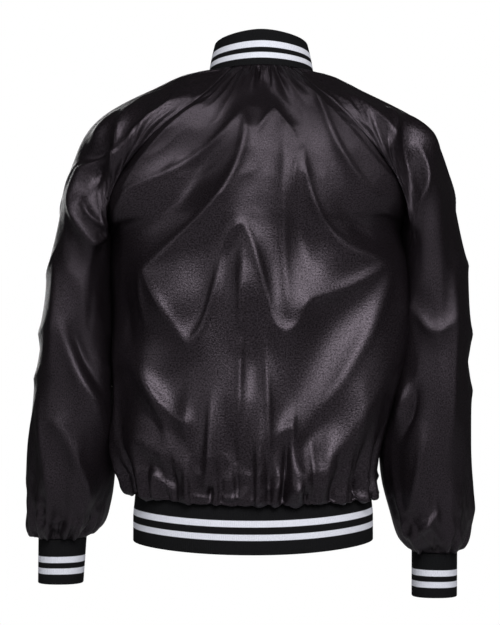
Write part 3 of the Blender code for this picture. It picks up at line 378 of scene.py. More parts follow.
def sleeve_grid(side):
    """Rows from the raglan seam to the cuff seam, columns round the arm (a closed ring)."""
    rows, ring, half = SLEEVE[side], seam_ring(side), SLEEVE_COLUMNS // 2
    spread_back = along_line(ring[:half + 1])
    spread_front = along_line(np.concatenate([ring[half:], ring[:1]]))
    spread_back, spread_front = spread_back / spread_back[-1], spread_front / spread_front[-1]
    sections = []
    for k in range(len(rows["back"])):
        row = {name: rows[name][k] for name in rows}
        keep = 1.0 - smooth(k / SPACING_ROWS)
        sections.append(oval(row, half, (keep, spread_back), (keep, spread_front)))
    grid = np.array(sections)
    offset = ring - grid[0]
    for k, fade in enumerate(SEAM_FADE):
        grid[k] += fade * offset
    return grid


# %% [markdown]
# ## Folds
#
# Satin doesn't wrinkle like paper.  It hangs in broad flat facets that meet in soft crests,
# and it is the facets that catch the light.  So a fold here is a crest line with sides that
# fall away evenly: its height is exp(-(sqrt(d^2 + r^2) - r) / w), where d is the distance
# to the crest, r rounds the crest and w is how far the sides reach.  A narrow welt of
# cloth, exp(-(d / 1.1 r)^2), stands on the crest and catches a thin line of light.  A crest
# runs on a parabola through three places, and it swells and dies away along its length.

# %% How a fold is laid on a grid
FOLD = "height round reach x0 z0 x1 z1 x2 z2"       # all in millimetres
STRENGTH = 1.55            # for all the folds together
WELT = 0.17                # the crest's own share of a fold's height
TILT = "x z long wide turn slope_x slope_z"         # places and sizes in millimetres, degrees


def fold_heights(x, z, rows, steps=70):
    """The sum of the folds at places x and z, in metres.  Each is the highest value along its
    route of the sides and the welt, which swell and die away as sin(pi (0.06 + 0.88 s))^0.6."""
    total = np.zeros(x.shape)
    s = np.linspace(0.0, 1.0, steps)
    swell = np.sin(math.pi * (0.06 + 0.88 * s)) ** 0.6
    first, second, third = (1 - s) * (1 - 2 * s), 4 * s * (1 - s), s * (2 * s - 1)
    for k in range(len(rows["height"])):
        route_x = 0.001 * (rows["x0"][k] * first + rows["x1"][k] * second + rows["x2"][k] * third)
        route_z = 0.001 * (rows["z0"][k] * first + rows["z1"][k] * second + rows["z2"][k] * third)
        round_, reach = 0.001 * rows["round"][k], 0.001 * rows["reach"][k]
        far = 5 * reach + 2 * round_
        near = ((x > route_x.min() - far) & (x < route_x.max() + far)
                & (z > route_z.min() - far) & (z < route_z.max() + far))
        distance = np.hypot(x[near][:, None] - route_x, z[near][:, None] - route_z)
        sides = np.exp(-(np.hypot(distance, round_) - round_) / reach)
        welt = np.exp(-(distance / (1.1 * round_)) ** 2)
        shape = swell * ((1.0 - WELT) * sides + WELT * welt)
        total[near] += 0.001 * STRENGTH * rows["height"][k] * shape.max(axis=1)
    return total


def tilted(x, z, rows):
    """Patches of cloth that lean as flat facets: (slope_x dx + slope_z dz) exp(-(a^2 + b^2)^1.4),
    where a and b are the distances along and across each patch in its own half sizes."""
    total = np.zeros(x.shape)
    for cx, cz, long, wide, turn, slope_x, slope_z in np.stack([rows[c] for c in TILT.split()], axis=1):
        dx, dz, turn = x - 0.001 * cx, z - 0.001 * cz, math.radians(turn)
        a = (dx * math.cos(turn) + dz * math.sin(turn)) / (0.001 * long)
        b = (dz * math.cos(turn) - dx * math.sin(turn)) / (0.001 * wide)
        total += (slope_x * dx + slope_z * dz) * np.exp(-(a * a + b * b) ** 1.4)
    return total


def unevenness(shape, cells, seed):
    """Soft random hills: a coarse grid of seeded numbers from -1 to 1, refined by cubics."""
    draw = np.random.default_rng(seed)
    coarse = draw.uniform(-1, 1, (cells[0] + 1, cells[1] + 1, 1))
    return refine_grid(coarse, shape[0] - 1, shape[1] - 1)[:, :, 0]


def creases(shape, cells, seed, soft=0.07):
    """A net of crests: 1 - 2 sqrt(n^2 + soft^2) on soft random hills n, so that a crest runs
    wherever n passes through 0."""
    return 1.0 - 2.0 * np.hypot(unevenness(shape, cells, seed), soft)


def gathers(u, up, count, seed, height, reach, narrow):
    """Gathers that start at a seam: ridges, or slits where the height is negative.  Each
    stands at its own place across (u from 0 to 1), is as wide as narrow times the pitch, and
    dies away over its own reach up the cloth.  Its shape is exp(r - sqrt(side^2 + r^2))."""
    draw = np.random.default_rng(seed)
    total = np.zeros(np.broadcast(u, up).shape)
    pitch, r = 1.0 / count, 0.5
    for k in range(count):
        place = (k + 0.5 + draw.uniform(-0.33, 0.33)) * pitch
        width = pitch * narrow * draw.uniform(0.7, 1.35)
        tall, long = height * draw.uniform(0.45, 1.3), reach * draw.uniform(0.35, 1.5)
        lean = draw.uniform(-0.45, 0.45) * pitch
        rise = np.clip(up / long, 0.0, 1.0)
        side = (u - place - lean * rise) / (width * (1.0 + 0.8 * rise))
        total += tall * np.exp(r - np.hypot(side, r)) * (1.0 - smooth(rise))
    return total - total.mean(axis=1, keepdims=True)


def gathered(u, up, rows):
    """The sum of several sets of gathers, a row of sizes for each."""
    return sum(gathers(u, up, *row) for row in rows)


# %% Folds of the back, read from the photograph, in millimetres
BACK_FOLDS = table(FOLD, [
    # beside the left raglan seam
    (5.0, 3, 12, 74, -61, 130, -96, 184, -178),
    (8.0, 5, 26, 21, -70, 81, -130, 173, -179),
    (7.0, 4, 12, 175, -179, 191, -205, 202, -236),
    # the long curve of the left V and its lower edge
    (13.0, 6, 30, 17, -78, 50, -184, 166, -297),
    (7.0, 4, 13, 161, -298, 130, -356, 99, -403),
    (4.0, 3, 12, 166, -301, 166, -332, 160, -370),
    # the arch
    (9.0, 4, 18, 99, -403, 72, -360, 50, -269),
    (6.0, 4, 16, 50, -269, 35, -240, 21, -229),
    (8.0, 4, 18, 20, -229, 0, -280, -21, -363),
    (7.0, 4, 14, -21, -363, -40, -384, -61, -365),
    (5.0, 4, 14, -61, -365, -66, -348, -78, -335),
    # right peak and its legs
    (11.0, 5, 24, -65, -130, -86, -215, -132, -266),
    (7.0, 5, 18, -132, -266, -160, -275, -185, -281),
    (4.0, 4, 12, -57, -138, -52, -162, -54, -191),
    (9.0, 5, 22, -85, -38, -117, -127, -171, -191),
    (8.0, 4, 16, -185, -287, -132, -320, -78, -335),
    # the broad diagonal band
    (9.0, 8, 30, -195, -278, -153, -389, -64, -532),
    (8.0, 8, 26, -205, -286, -188, -410, -110, -552),
    # centre
    (4.0, 3, 10, -24, -66, -13, -82, 1, -102),
    (4.0, 3, 10, -24, -66, -38, -85, -55, -110),
    (6.0, 6, 16, -40, -99, -37, -226, -44, -353),
    (9.0, 4, 20, 22, -254, 24, -424, 30, -615),
    (7.0, 4, 16, -7, -382, -16, -509, -11, -615),
    (6.0, 3, 12, 66, -480, 68, -550, 74, -615),
    (6.0, 3, 12, -52, -500, -48, -560, -50, -615),
    # lower left
    (9.0, 7, 22, 187, -420, 144, -488, 120, -569),
    (5.0, 4, 10, 166, -428, 137, -484, 99, -513),
    (4.0, 3, 8, 151, -580, 134, -600, 113, -618),
    (4.0, 3, 10, -30, -533, -41, -520, -52, -518),
    # hollows between
    (-7.0, 12, 22, 74, -127, 105, -190, 151, -219),
    (-7.0, 14, 26, 74, -300, 78, -350, 92, -389),
    (-7.0, 12, 24, -117, -198, -146, -233, -188, -247),
    (-5.0, 10, 20, -65, -175, -62, -235, -75, -290),
    (-5.0, 8, 18, 197, -311, 194, -368, 183, -410),
    (-4.0, 4, 8, 105, -523, 103, -566, 109, -608),
    (-4.0, 4, 8, 34, -530, 30, -580, 28, -622),
    (-4.0, 4, 8, -44, -537, -40, -573, -37, -608),
])

# %% Facets of the back that lean up into the light, or down out of it
BACK_TILTS = table(TILT, [
    (-136, -430, 170, 62, -66, -0.34, -0.24),    # the broad diagonal band
    (-84, -560, 62, 30, -66, -0.28, -0.38),      # its foot
    (138, -540, 58, 27, 49, 0.22, -0.36),        # the facet above the hem at the left
    (134, -598, 34, 18, 49, 0.20, -0.50),        # a smaller one below it
    (86, -300, 74, 44, -44, 0.16, -0.17),        # inside the left V
    (-62, -300, 74, 42, -60, -0.06, -0.10),      # right of the arch
    (125, -170, 74, 42, -30, 0.24, -0.12),       # below the left shoulder
    (12, -370, 80, 30, -90, 0.00, 0.20),         # under the arch
    (150, -500, 70, 34, -60, 0.20, -0.12),       # low left
])

# %% Folds of the fronts: the same kind of folds, placed where the photograph hides them
FRONT_FOLDS = {
    "left": table(FOLD, [
        (8.0, 5, 24, 60, -90, 95, -190, 168, -284),
        (6.0, 4, 16, 168, -290, 120, -345, 80, -405),
        (7.0, 5, 20, 80, -405, 62, -330, 55, -240),
        (6.0, 4, 18, 95, -80, 130, -130, 180, -185),
        (8.0, 7, 24, 182, -370, 140, -470, 95, -560),
        (5.0, 4, 14, 60, -250, 58, -400, 62, -590),
        (-6.0, 10, 22, 110, -150, 130, -200, 165, -225),
        (-5.0, 8, 20, 120, -400, 118, -430, 90, -480),
    ]),
    "right": table(FOLD, [
        (8.0, 5, 22, -75, -95, -105, -205, -178, -268),
        (7.0, 4, 16, -180, -288, -120, -335, -70, -372),
        (6.0, 4, 16, -70, -372, -58, -300, -62, -220),
        (8.0, 8, 26, -184, -340, -140, -450, -80, -560),
        (5.0, 4, 16, -100, -60, -140, -110, -190, -170),
        (4.5, 4, 14, -45, -180, -48, -330, -50, -560),
        (-6.0, 10, 22, -120, -160, -150, -210, -190, -236),
    ]),
}

# %% Folds of the sleeves on the side that faces back, in millimetres
SLEEVE_FOLDS = {
    "left": table(FOLD, [
        (7.0, 4, 14, 95, -45, 150, -82, 208, -150),
        (6.0, 4, 14, 173, -53, 194, -100, 208, -162),
        (8.0, 6, 18, 194, -70, 219, -92, 240, -112),
        (-9.0, 5, 12, 256, -137, 226, -131, 204, -121),
        (7.0, 4, 10, 258, -150, 226, -139, 201, -130),
        (-7.0, 6, 12, 228, -150, 228, -160, 232, -178),
        (8.0, 4, 14, 258, -150, 262, -205, 238, -256),
        (6.0, 4, 10, 238, -257, 226, -252, 214, -238),
        (6.0, 4, 10, 246, -195, 233, -221, 214, -229),
        (9.0, 8, 22, 284, -375, 250, -461, 214, -540),
        (-6.0, 6, 14, 269, -382, 245, -430, 231, -468),
        (6.0, 5, 16, 292, -512, 262, -569, 236, -650),
        (4.0, 4, 14, 228, -335, 217, -425, 214, -512),
        (5.0, 6, 18, 300, -260, 292, -340, 300, -440),
        (5.0, 5, 16, 320, -470, 308, -560, 300, -640),
    ]),
    "right": table(FOLD, [
        (7.0, 4, 14, -120, -40, -160, -72, -200, -120),
        (7.0, 4, 14, -181, -62, -194, -95, -184, -132),
        (-6.0, 5, 12, -201, -99, -219, -145, -225, -202),
        (9.0, 6, 18, -206, -76, -231, -95, -262, -126),
        (7.0, 4, 14, -228, -120, -240, -165, -226, -205),
        (5.0, 5, 14, -218, -296, -214, -339, -206, -411),
        (4.0, 4, 10, -228, -352, -254, -384, -284, -366),
        (7.0, 4, 12, -212, -462, -208, -500, -192, -528),
        (-5.0, 4, 10, -226, -470, -222, -505, -206, -540),
        (6.0, 4, 12, -265, -650, -246, -670, -230, -688),
        (2.5, 8, 22, -258, -225, -266, -319, -262, -400),
        (5.0, 6, 18, -290, -300, -286, -430, -278, -560),
        (5.0, 5, 16, -240, -540, -232, -600, -222, -650),
    ]),
}

SLEEVE_TILTS = {
    "left": table(TILT, [(250, -440, 90, 40, -70, -0.10, -0.16)]),
    "right": table(TILT, [(-262, -290, 130, 45, -85, 0.28, 0.12)]),
}

# Folds on the sleeves' outer sides, where the first two numbers of a place are y and z
SIDE_FOLDS = {
    "left": table(FOLD, [
        (7.0, 4, 16, 70, -120, 20, -190, -50, -215),
        (6.0, 4, 14, 60, -250, 10, -300, -60, -292),
        (8.0, 5, 18, -70, -330, -10, -385, 50, -372),
        (6.0, 4, 14, 55, -420, 5, -452, -70, -440),
        (7.0, 5, 18, -60, -470, -35, -560, -5, -650),
        (6.0, 4, 16, 30, -480, 0, -560, -30, -640),
        (-6.0, 6, 14, 40, -150, 0, -225, -50, -250),
        (-6.0, 6, 16, 20, -400, -20, -420, -60, -405),
    ]),
    "right": table(FOLD, [
        (7.0, 4, 16, 75, -110, 30, -170, -40, -205),
        (6.0, 4, 14, -60, -240, 0, -285, 55, -280),
        (8.0, 5, 18, 60, -345, 0, -390, -65, -372),
        (6.0, 4, 14, -65, -430, -10, -470, 45, -480),
        (7.0, 5, 18, -70, -500, -50, -590, -20, -670),
        (6.0, 4, 16, 20, -510, 0, -590, -25, -665),
        (-6.0, 6, 14, 50, -140, 10, -210, -40, -240),
        (-6.0, 6, 16, 25, -415, -20, -432, -60, -410),
    ]),
}

# %% [markdown]
# ## From a grid to a piece of cloth
#
# A panel's grid is refined, moved along its own normals by the folds, and made a mesh with
# a UV map in metres, so that the weave keeps one size all over.  Solidify then gives it the
# satin's thickness, inwards.  Seams keep their line, so that two panels meet.

# %% Grid to mesh
SATIN = 0.0012            # the cloth's thickness


def grid_normals(grid, ring=False):
    """Outward normals of a grid: the cross product of its two directions."""
    across = np.roll(grid, -1, axis=1) - np.roll(grid, 1, axis=1) if ring else np.gradient(grid, axis=1)
    normals = unit(np.cross(across, np.gradient(grid, axis=0)))
    outward = np.sum(normals * (grid - grid.mean(axis=(0, 1))))
    return normals if outward > 0 else -normals


def facing(grid, normals, ring=False):
    """Whether a grid's own direction agrees with its outward normals."""
    across = np.roll(grid, -1, axis=1) - grid if ring else np.gradient(grid, axis=1)
    return np.sum(np.cross(across, np.gradient(grid, axis=0)) * normals) > 0


def new_piece(name, verts, faces, uvs=None):
    """A smooth mesh object with an optional UV for each corner of its faces."""
    mesh = bpy.data.meshes.new(name)
    mesh.vertices.add(len(verts))
    mesh.vertices.foreach_set("co", np.asarray(verts, dtype=np.float32).ravel())
    sides = faces.shape[1]
    mesh.loops.add(faces.size)
    mesh.loops.foreach_set("vertex_index", faces.ravel().astype(np.int32))
    mesh.polygons.add(len(faces))
    mesh.polygons.foreach_set("loop_start", np.arange(0, faces.size, sides, dtype=np.int32))
    mesh.polygons.foreach_set("use_smooth", np.ones(len(faces), dtype=bool))
    mesh.update(calc_edges=True)
    if uvs is not None:
        layer = mesh.uv_layers.new(name="cloth")
        layer.data.foreach_set("uv", np.asarray(uvs, dtype=np.float32).ravel())
    mesh.validate()
    made = bpy.data.objects.new(name, mesh)
    bpy.context.scene.collection.objects.link(made)
    return made


CORNERS = ((slice(None, -1), slice(None, -1)), (slice(None, -1), slice(1, None)),
           (slice(1, None), slice(1, None)), (slice(1, None), slice(None, -1)))


def join_ends(grid, ring):
    """The grid, with its first column once more at the end where it is a ring."""
    return np.concatenate([grid, grid[:, :1]], axis=1) if ring else grid


def mapped_piece(name, grid, u, v, agrees, ring=False):
    """A grid as a mesh with a UV map; where its own direction doesn't agree with its outward
    normals, its faces are turned over."""
    index = join_ends(np.arange(grid[:, :, 0].size).reshape(grid.shape[:2]), ring)
    uv = np.stack(np.meshgrid(u, v), axis=2)
    if not agrees:
        index, uv = index[:, ::-1], uv[:, ::-1]
    faces = np.stack([index[c].ravel() for c in CORNERS], axis=1)
    uvs = np.stack([uv[c].reshape(-1, 2) for c in CORNERS], axis=1)
    return new_piece(name, grid.reshape(-1, 3), faces, uvs)


def grid_piece(name, grid, normals, ring=False):
    """A grid as a mesh, its faces pointing out, with a UV map in metres."""
    step_u = np.linalg.norm(np.diff(join_ends(grid, ring), axis=1), axis=2).mean(axis=0)
    step_v = np.linalg.norm(np.diff(grid, axis=0), axis=2).mean(axis=1)
    u, v = (np.concatenate([[0.0], np.cumsum(step)]) for step in (step_u, step_v))
    return mapped_piece(name, grid, u, v, facing(grid, normals, ring), ring)


def give_thickness(piece, thickness):
    """Thicken a piece inwards, with its outside where it was."""
    solidify = piece.modifiers.new("thickness", "SOLIDIFY")
    solidify.thickness = thickness
    solidify.offset = -1.0
    solidify.use_even_offset = False


def satin_piece(node, cloth, ring=False):
    """A panel's grid as satin, in the place of its solid."""
    piece = grid_piece(node + "_satin", cloth, grid_normals(cloth, ring), ring)
    give_thickness(piece, SATIN)
    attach(piece, "root")
    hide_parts(node)


def edge_distances(grid):
    """For each point, how far along the cloth it is from the panel's first and last column,
    and from its first and last row."""
    steps_u = np.linalg.norm(np.diff(grid, axis=1), axis=2)
    steps_v = np.linalg.norm(np.diff(grid, axis=0), axis=2)
    left = np.concatenate([np.zeros((grid.shape[0], 1)), np.cumsum(steps_u, axis=1)], axis=1)
    up = np.concatenate([np.zeros((1, grid.shape[1])), np.cumsum(steps_v, axis=0)])
    return left, left[:, -1:] - left, up, up[-1:] - up


# %% The seam lines, exactly as both panels follow them
def seam_line(side, face, steps):
    """A raglan seam in fine steps."""
    edge = torso_lines(side, face)[1][-UPPER_ROWS - 1:]
    return refine(edge, steps)


LOWER_STEPS, UPPER_STEPS = 9, 9        # fine rows for each coarse row
BACK_STEPS, FRONT_STEPS = 4, 5         # fine columns for each coarse column
SLEEVE_STEPS, SLEEVE_ROWS = 6, 11      # fine columns and rows of a sleeve
TORSO_FADE, SLEEVE_FADE = 14, 10       # fine columns, or rows, over which a seam's pull fades


def snap_edge(grid, column, line, first):
    """Bring an edge of a fine grid onto a seam line, fading over some columns inwards."""
    gap = line - grid[first:first + len(line), column]
    step = 1 if column == 0 else -1
    for k in range(TORSO_FADE):
        fade = 1.0 - smooth(k / TORSO_FADE)
        grid[first:first + len(line), column + step * k] += fade * gap


def fine_torso(face, side=None):
    """The fine grid of the back, or of one front."""
    coarse = back_grid() if face == "back" else front_grid(side)
    per_column = BACK_STEPS if face == "back" else FRONT_STEPS
    rows = (len(coarse) - 1) * LOWER_STEPS
    grid = refine_grid(coarse, rows, (coarse.shape[1] - 1) * per_column)
    first = (len(MIDDLE_X) - 1) * LOWER_STEPS
    edges = (("left", 0), ("right", -1)) if face == "back" else ((side, -1),)
    for name, column in edges:
        snap_edge(grid, column, seam_line(name, face, UPPER_ROWS * UPPER_STEPS), first)
    return grid


def fine_sleeve(side):
    """The fine grid of a sleeve, its first ring on the raglan seams and the neck."""
    coarse = sleeve_grid(side)
    grid = refine_grid(coarse, (len(coarse) - 1) * SLEEVE_ROWS, SLEEVE_COLUMNS * SLEEVE_STEPS, ring=True)
    up = UPPER_ROWS * SLEEVE_STEPS
    back, front = seam_line(side, "back", up), seam_line(side, "front", up)
    sign = 1.0 if side == "left" else -1.0
    neck = neck_ring(sign * np.linspace(NECK_BACK_ANGLE, NECK_FRONT_ANGLE, NECK_STEPS * SLEEVE_STEPS + 1))
    ring = np.concatenate([back, neck[1:], front[::-1][1:-1]])
    gap = ring - grid[0]
    for k in range(SLEEVE_FADE):
        grid[k] += (1.0 - smooth(k / SLEEVE_FADE)) * gap
    return grid


# %% [markdown]
# ## The back
#
# The back is one panel, held in by the raglan seams, the collar and the waistband.  Its folds
# could come from a cloth simulation, but the photograph shows just where they lie, so they
# are listed one by one.  Gathers start at the knit as ridges with narrow slits between them.

# %% How cloth behaves at a seam and at the hem
SEAM_TUCK, TUCK_REACH = 0.0010, 0.0035              # how far cloth dips into a seam, and how near
PUCKER, PUCKER_PLACE, PUCKER_REACH = 0.0009, 0.008, 0.006
HEM_TURN = 0.026          # cloth from the waist seam down and round to the lowest edge
CRUMPLE, CRUMPLE_REACH = 0.0022, 0.06               # fine creases above the hem
HILLS = 0.0016            # how uneven a panel of the body is
# flat cloth sinks, so that its folds stand half out of and half into the solid's surface
BACK_SINK, FRONT_SINK, SLEEVE_SINK = 0.0060, 0.0030, 0.0060

# a row for each set of gathers: count, seed, height, reach and share of the pitch
HEM_GATHERS = {
    "back": [(15, 31, 0.0150, 0.190, 0.20), (23, 32, -0.0110, 0.085, 0.12)],
    "left": [(7, 52, 0.0120, 0.180, 0.22), (11, 54, -0.0100, 0.075, 0.13)],
    "right": [(7, 62, 0.0120, 0.180, 0.22), (11, 64, -0.0100, 0.075, 0.13)],
}
NECK_GATHERS = [(11, 33, 0.0050, 0.100, 0.22), (9, 34, -0.0045, 0.050, 0.14)]
CUFF_GATHERS = {
    "left": [(15, 72, 0.0120, 0.190, 0.24), (21, 74, -0.0080, 0.080, 0.15)],
    "right": [(15, 82, 0.0120, 0.190, 0.24), (21, 84, -0.0080, 0.080, 0.15)],
}


def beside_seam(distance, noise):
    """Cloth puckers beside a seam and rolls down into it: noise * exp(-((distance - place) /
    reach)^2) less exp(-(distance / reach)^2), each with its own size and reach."""
    pucker = noise * np.exp(-((distance - PUCKER_PLACE) / PUCKER_REACH) ** 2)
    return PUCKER * pucker - SEAM_TUCK * np.exp(-(distance / TUCK_REACH) ** 2)


def above_hem(normals, up, cells, seed, rows):
    """Fine creases and gathers above the waist seam, with less of the gathers where the cloth
    turns under."""
    hem = np.maximum(up - HEM_TURN, 0.0)
    crumpled = CRUMPLE * creases(up.shape, cells, seed) * np.exp(-(hem / CRUMPLE_REACH) ** 2)
    under = 1.0 - 0.6 * smooth((-normals[:, :, 2] - 0.25) / 0.45)
    u = np.linspace(0.0, 1.0, up.shape[1])[None, :]
    return crumpled + under * gathered(u, hem, rows)


def finish_panel(grid, normals, height, side, up, down, noise):
    """Folds die away towards every seam of a panel of the body, and above the underarm its
    side seam is puckered.  The points then move out along their normals by the height."""
    height = height * smooth(side / 0.018) * smooth((up - 0.002) / 0.014) * smooth(down / 0.008)
    height += beside_seam(side, noise) * smooth((grid[:, :, 2] + 0.25) / 0.02)
    return grid + normals * height[:, :, None]


# %% The back
def dressed_back():
    """The back with its folds, the gathers at the waist and the neck, and its seams."""
    grid = fine_torso("back")
    normals = grid_normals(grid)
    left, right, up, down = edge_distances(grid)
    side, x, z = np.minimum(left, right), grid[:, :, 0], grid[:, :, 2]
    height = fold_heights(x, z, BACK_FOLDS) + tilted(x, z, BACK_TILTS)
    height -= BACK_SINK * smooth((side - 0.02) / 0.06)
    height += HILLS * unevenness(up.shape, (9, 8), 21) + 0.0007 * creases(up.shape, (16, 13), 22)
    height *= smooth((up - 0.5 * HEM_TURN) / 0.03)
    height += above_hem(normals, up, (30, 26), 23, HEM_GATHERS["back"])
    height += gathered(np.linspace(0.0, 1.0, grid.shape[1])[None, :], down, NECK_GATHERS)
    return finish_panel(grid, normals, height, side, up, down, unevenness(up.shape, (60, 6), 41))


satin_piece("back", dressed_back())

# %% [markdown]
# ## The fronts
#
# The photograph hides the fronts.  They are cut like half a back each, close left over
# right with press studs, and hang flat beside the closing, because the cloth is folded
# double there.

# %% The fronts
def dressed_front(side):
    """A front with its folds and gathers, flat along the closing."""
    grid = fine_torso("front", side)
    normals = grid_normals(grid)
    from_edge, to_side, up, down = edge_distances(grid)
    seed = 50 if side == "left" else 60
    height = fold_heights(grid[:, :, 0], grid[:, :, 2], FRONT_FOLDS[side])
    height -= FRONT_SINK * smooth((to_side - 0.02) / 0.06)
    height += HILLS * unevenness(up.shape, (9, 5), seed) + 0.0010 * creases(up.shape, (14, 7), seed + 1)
    height *= smooth(up / 0.05)
    height += above_hem(normals, up, (30, 13), seed + 5, HEM_GATHERS[side])
    height *= smooth((from_edge - 0.036) / 0.030)
    return finish_panel(grid, normals, height, to_side, up, down, unevenness(up.shape, (60, 4), seed + 3))


for side in ("left", "right"):
    satin_piece("front_" + side, dressed_front(side))

# %% [markdown]
# ## The sleeves
#
# A raglan sleeve runs up to the neck.  It hangs close beside the body, so its folds lie on
# the outside and the back, and it is gathered all round into the cuff.

# %% The sleeves
# how far a sleeve leans onto the body below the armpit, and down to which height
SLEEVE_PRESS = {"left": (0.0034, -0.470), "right": (0.0038, -0.350)}
UNDERARM_FADE = 0.11      # share of the way round over which folds fade towards the underarm
BACK_SHARE, FRONT_SHARE, SIDE_SHARE = 1.6, 1.4, 0.42    # how strongly folds show on each face
FRONT_DROP = 0.022        # the same folds lie this much lower in front than behind
SIDE_SINK = 0.0022
OUTLINE_CALM, OUTLINE_REACH = 0.93, 0.45                # folds die away along the outline


def dressed_sleeve(side):
    """A sleeve with folds on its free sides and gathers at the cuff."""
    grid = fine_sleeve(side)
    normals = grid_normals(grid, ring=True)
    _, _, along, to_cuff = edge_distances(grid)
    x, y, z = grid[:, :, 0], grid[:, :, 1], grid[:, :, 2]
    count = grid.shape[1]
    turn = (np.arange(count) / count)[None, :]
    from_underarm = np.minimum(turn, 1.0 - turn)
    free = smooth(from_underarm / UNDERARM_FADE)
    seed = 70 if side == "left" else 80

    faces_back = smooth((normals[:, :, 1] + 0.35) / 0.5)
    faces_front = smooth((0.35 - normals[:, :, 1]) / 0.5)
    height = BACK_SHARE * fold_heights(x, z, SLEEVE_FOLDS[side]) + tilted(x, z, SLEEVE_TILTS[side])
    height *= faces_back
    height += FRONT_SHARE * fold_heights(x, z + FRONT_DROP, SLEEVE_FOLDS[side]) * faces_front - SLEEVE_SINK

    wide = (height.shape[0], count + 1)
    bumps = 0.0014 * unevenness(wide, (12, 8), seed) + 0.0022 * creases(wide, (9, 11), seed + 1)
    crumpled = np.exp(-(to_cuff / 0.09) ** 2) + 0.7 * np.exp(-((along - 0.05) / 0.06) ** 2)
    bumps[:, :-1] += 0.0032 * creases(wide, (36, 36), seed + 5)[:, :-1] * crumpled
    height += bumps[:, :-1] * smooth(from_underarm / 0.06)

    # the outline stays smooth: its folds come from the side instead
    height *= 1.0 - OUTLINE_CALM * np.exp(-(normals[:, :, 1] / OUTLINE_REACH) ** 2)
    outward = smooth((np.abs(normals[:, :, 0]) - 0.45) / 0.35) * smooth((-0.06 - z) / 0.06)
    height += (SIDE_SHARE * fold_heights(y, z, SIDE_FOLDS[side]) - SIDE_SINK) * outward
    height *= free * smooth((along - 0.002) / 0.022) * smooth(to_cuff / 0.05)

    height += gathered(turn, to_cuff, CUFF_GATHERS[side]) * free * smooth((to_cuff - 0.0015) / 0.012)
    height += beside_seam(along, unevenness(wide, (6, 70), seed + 3)[:, :-1]) * free
    shown = grid + normals * height[:, :, None]

    press, low = SLEEVE_PRESS[side]
    inner = np.exp(-(from_underarm / 0.07) ** 2)
    shown[:, :, 0] -= np.sign(x) * press * inner * smooth((-0.235 - z) / 0.007) * smooth((z - low) / 0.07)
    return shown


for side in ("left", "right"):
    satin_piece("sleeve_" + side, dressed_sleeve(side), ring=True)

# %% [markdown]
# ## The rib knit
#
# Collar, waistband and cuffs are tubes or strips of rib knit, folded double.  Fine ribs run
# up and down, the folded edge is rounded, and two white stripes run round.  The ribs are
# real ridges; the stitches are left to the material.  The UV map's second coordinate is the
# distance from the folded edge, so the stripes keep their width.

# %% Sizes of the knit
KNIT = 0.0024             # folded double
RIB_PITCH, RIB_HEIGHT = 0.0029, 0.00035
POINTS_PER_RIB = 4
COLLAR_LENGTH, COLLAR_ENDS = 0.48, 0.0035           # each end stands this far from the middle
WAISTBAND_LENGTH, WAISTBAND_HEIGHT = 0.97, 0.078
WAISTBAND_INSET = 0.0007  # its top lies this far inside the gathered satin
WAISTBAND_FLARE, WAISTBAND_HEM = 0.0028, 0.0033     # how far out it stands half way down and below
CUFF_LENGTH = 0.212
COLLAR = table("angle scale forward up", [
    (0, 0.86, 0.010, 0.0543), (60, 0.87, 0.009, 0.0495), (90, 0.89, 0.006, 0.0465),
    (135, 0.90, 0.001, 0.0460), (180, 0.92, -0.001, 0.0470),
])
CUFF = {
    "left": dict(end_x=0.2935, end_z=-0.7610, end_y=-0.0620, half_x=0.0337, half_y=0.0350),
    "right": dict(end_x=-0.2660, end_z=-0.7810, end_y=-0.0620, half_x=0.0337, half_y=0.0350),
}
OUTER_ROWS, FOLD_ROWS = 22, 8


def knit_piece(node, lines, ring=False):
    """A band of rib knit between two or more lines of points (seam first, folded edge last).
    The rows run from the seam down the outside, round the folded edge, and back up the
    inside; ribs stand out as cos(2 pi n), n counting the ribs."""
    outer = refine(np.array(lines), OUTER_ROWS)
    normals = grid_normals(outer, ring)
    ribs = np.cos(2 * math.pi * np.arange(len(lines[0])) / POINTS_PER_RIB)[None, :, None]
    run = unit(outer[-1] - outer[-2])
    turn = np.linspace(0.0, math.pi, FOLD_ROWS + 1)[1:]
    half = 0.5 * KNIT
    edge = [outer[-1] + run * half * np.sin(a) - normals[-1] * half * (1 - np.cos(a)) for a in turn]
    inside = (outer - normals * KNIT)[::-1][1:]
    shown = outer + normals * ribs * RIB_HEIGHT * 0.5
    grid = np.concatenate([shown, np.array(edge), inside])
    steps = np.linalg.norm(np.diff(grid, axis=0), axis=2).mean(axis=1)
    from_seam = np.concatenate([[0.0], np.cumsum(steps)])
    fold_at = from_seam[OUTER_ROWS + FOLD_ROWS // 2]
    u = along_line(join_ends(grid, ring)[len(outer) // 2])
    piece = mapped_piece(node + "_knit", grid, u, np.abs(fold_at - from_seam),
                         facing(outer, normals, ring), ring)
    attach(piece, "root")
    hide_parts(node)
    print(piece.name, len(piece.data.polygons), "faces, height", round(float(fold_at), 4))
    return piece


def rib_steps(length):
    """Grid steps for a whole number of ribs."""
    return POINTS_PER_RIB * round(length / RIB_PITCH)


# %% [markdown]
# ## The collar
#
# The collar is a standing band whose ends meet above the top stud.  It could be a tube cut
# open.  Here its top is the neck seam itself, drawn in, raised and pushed forward by amounts
# that change round the neck, because a knit collar leans in at the back.

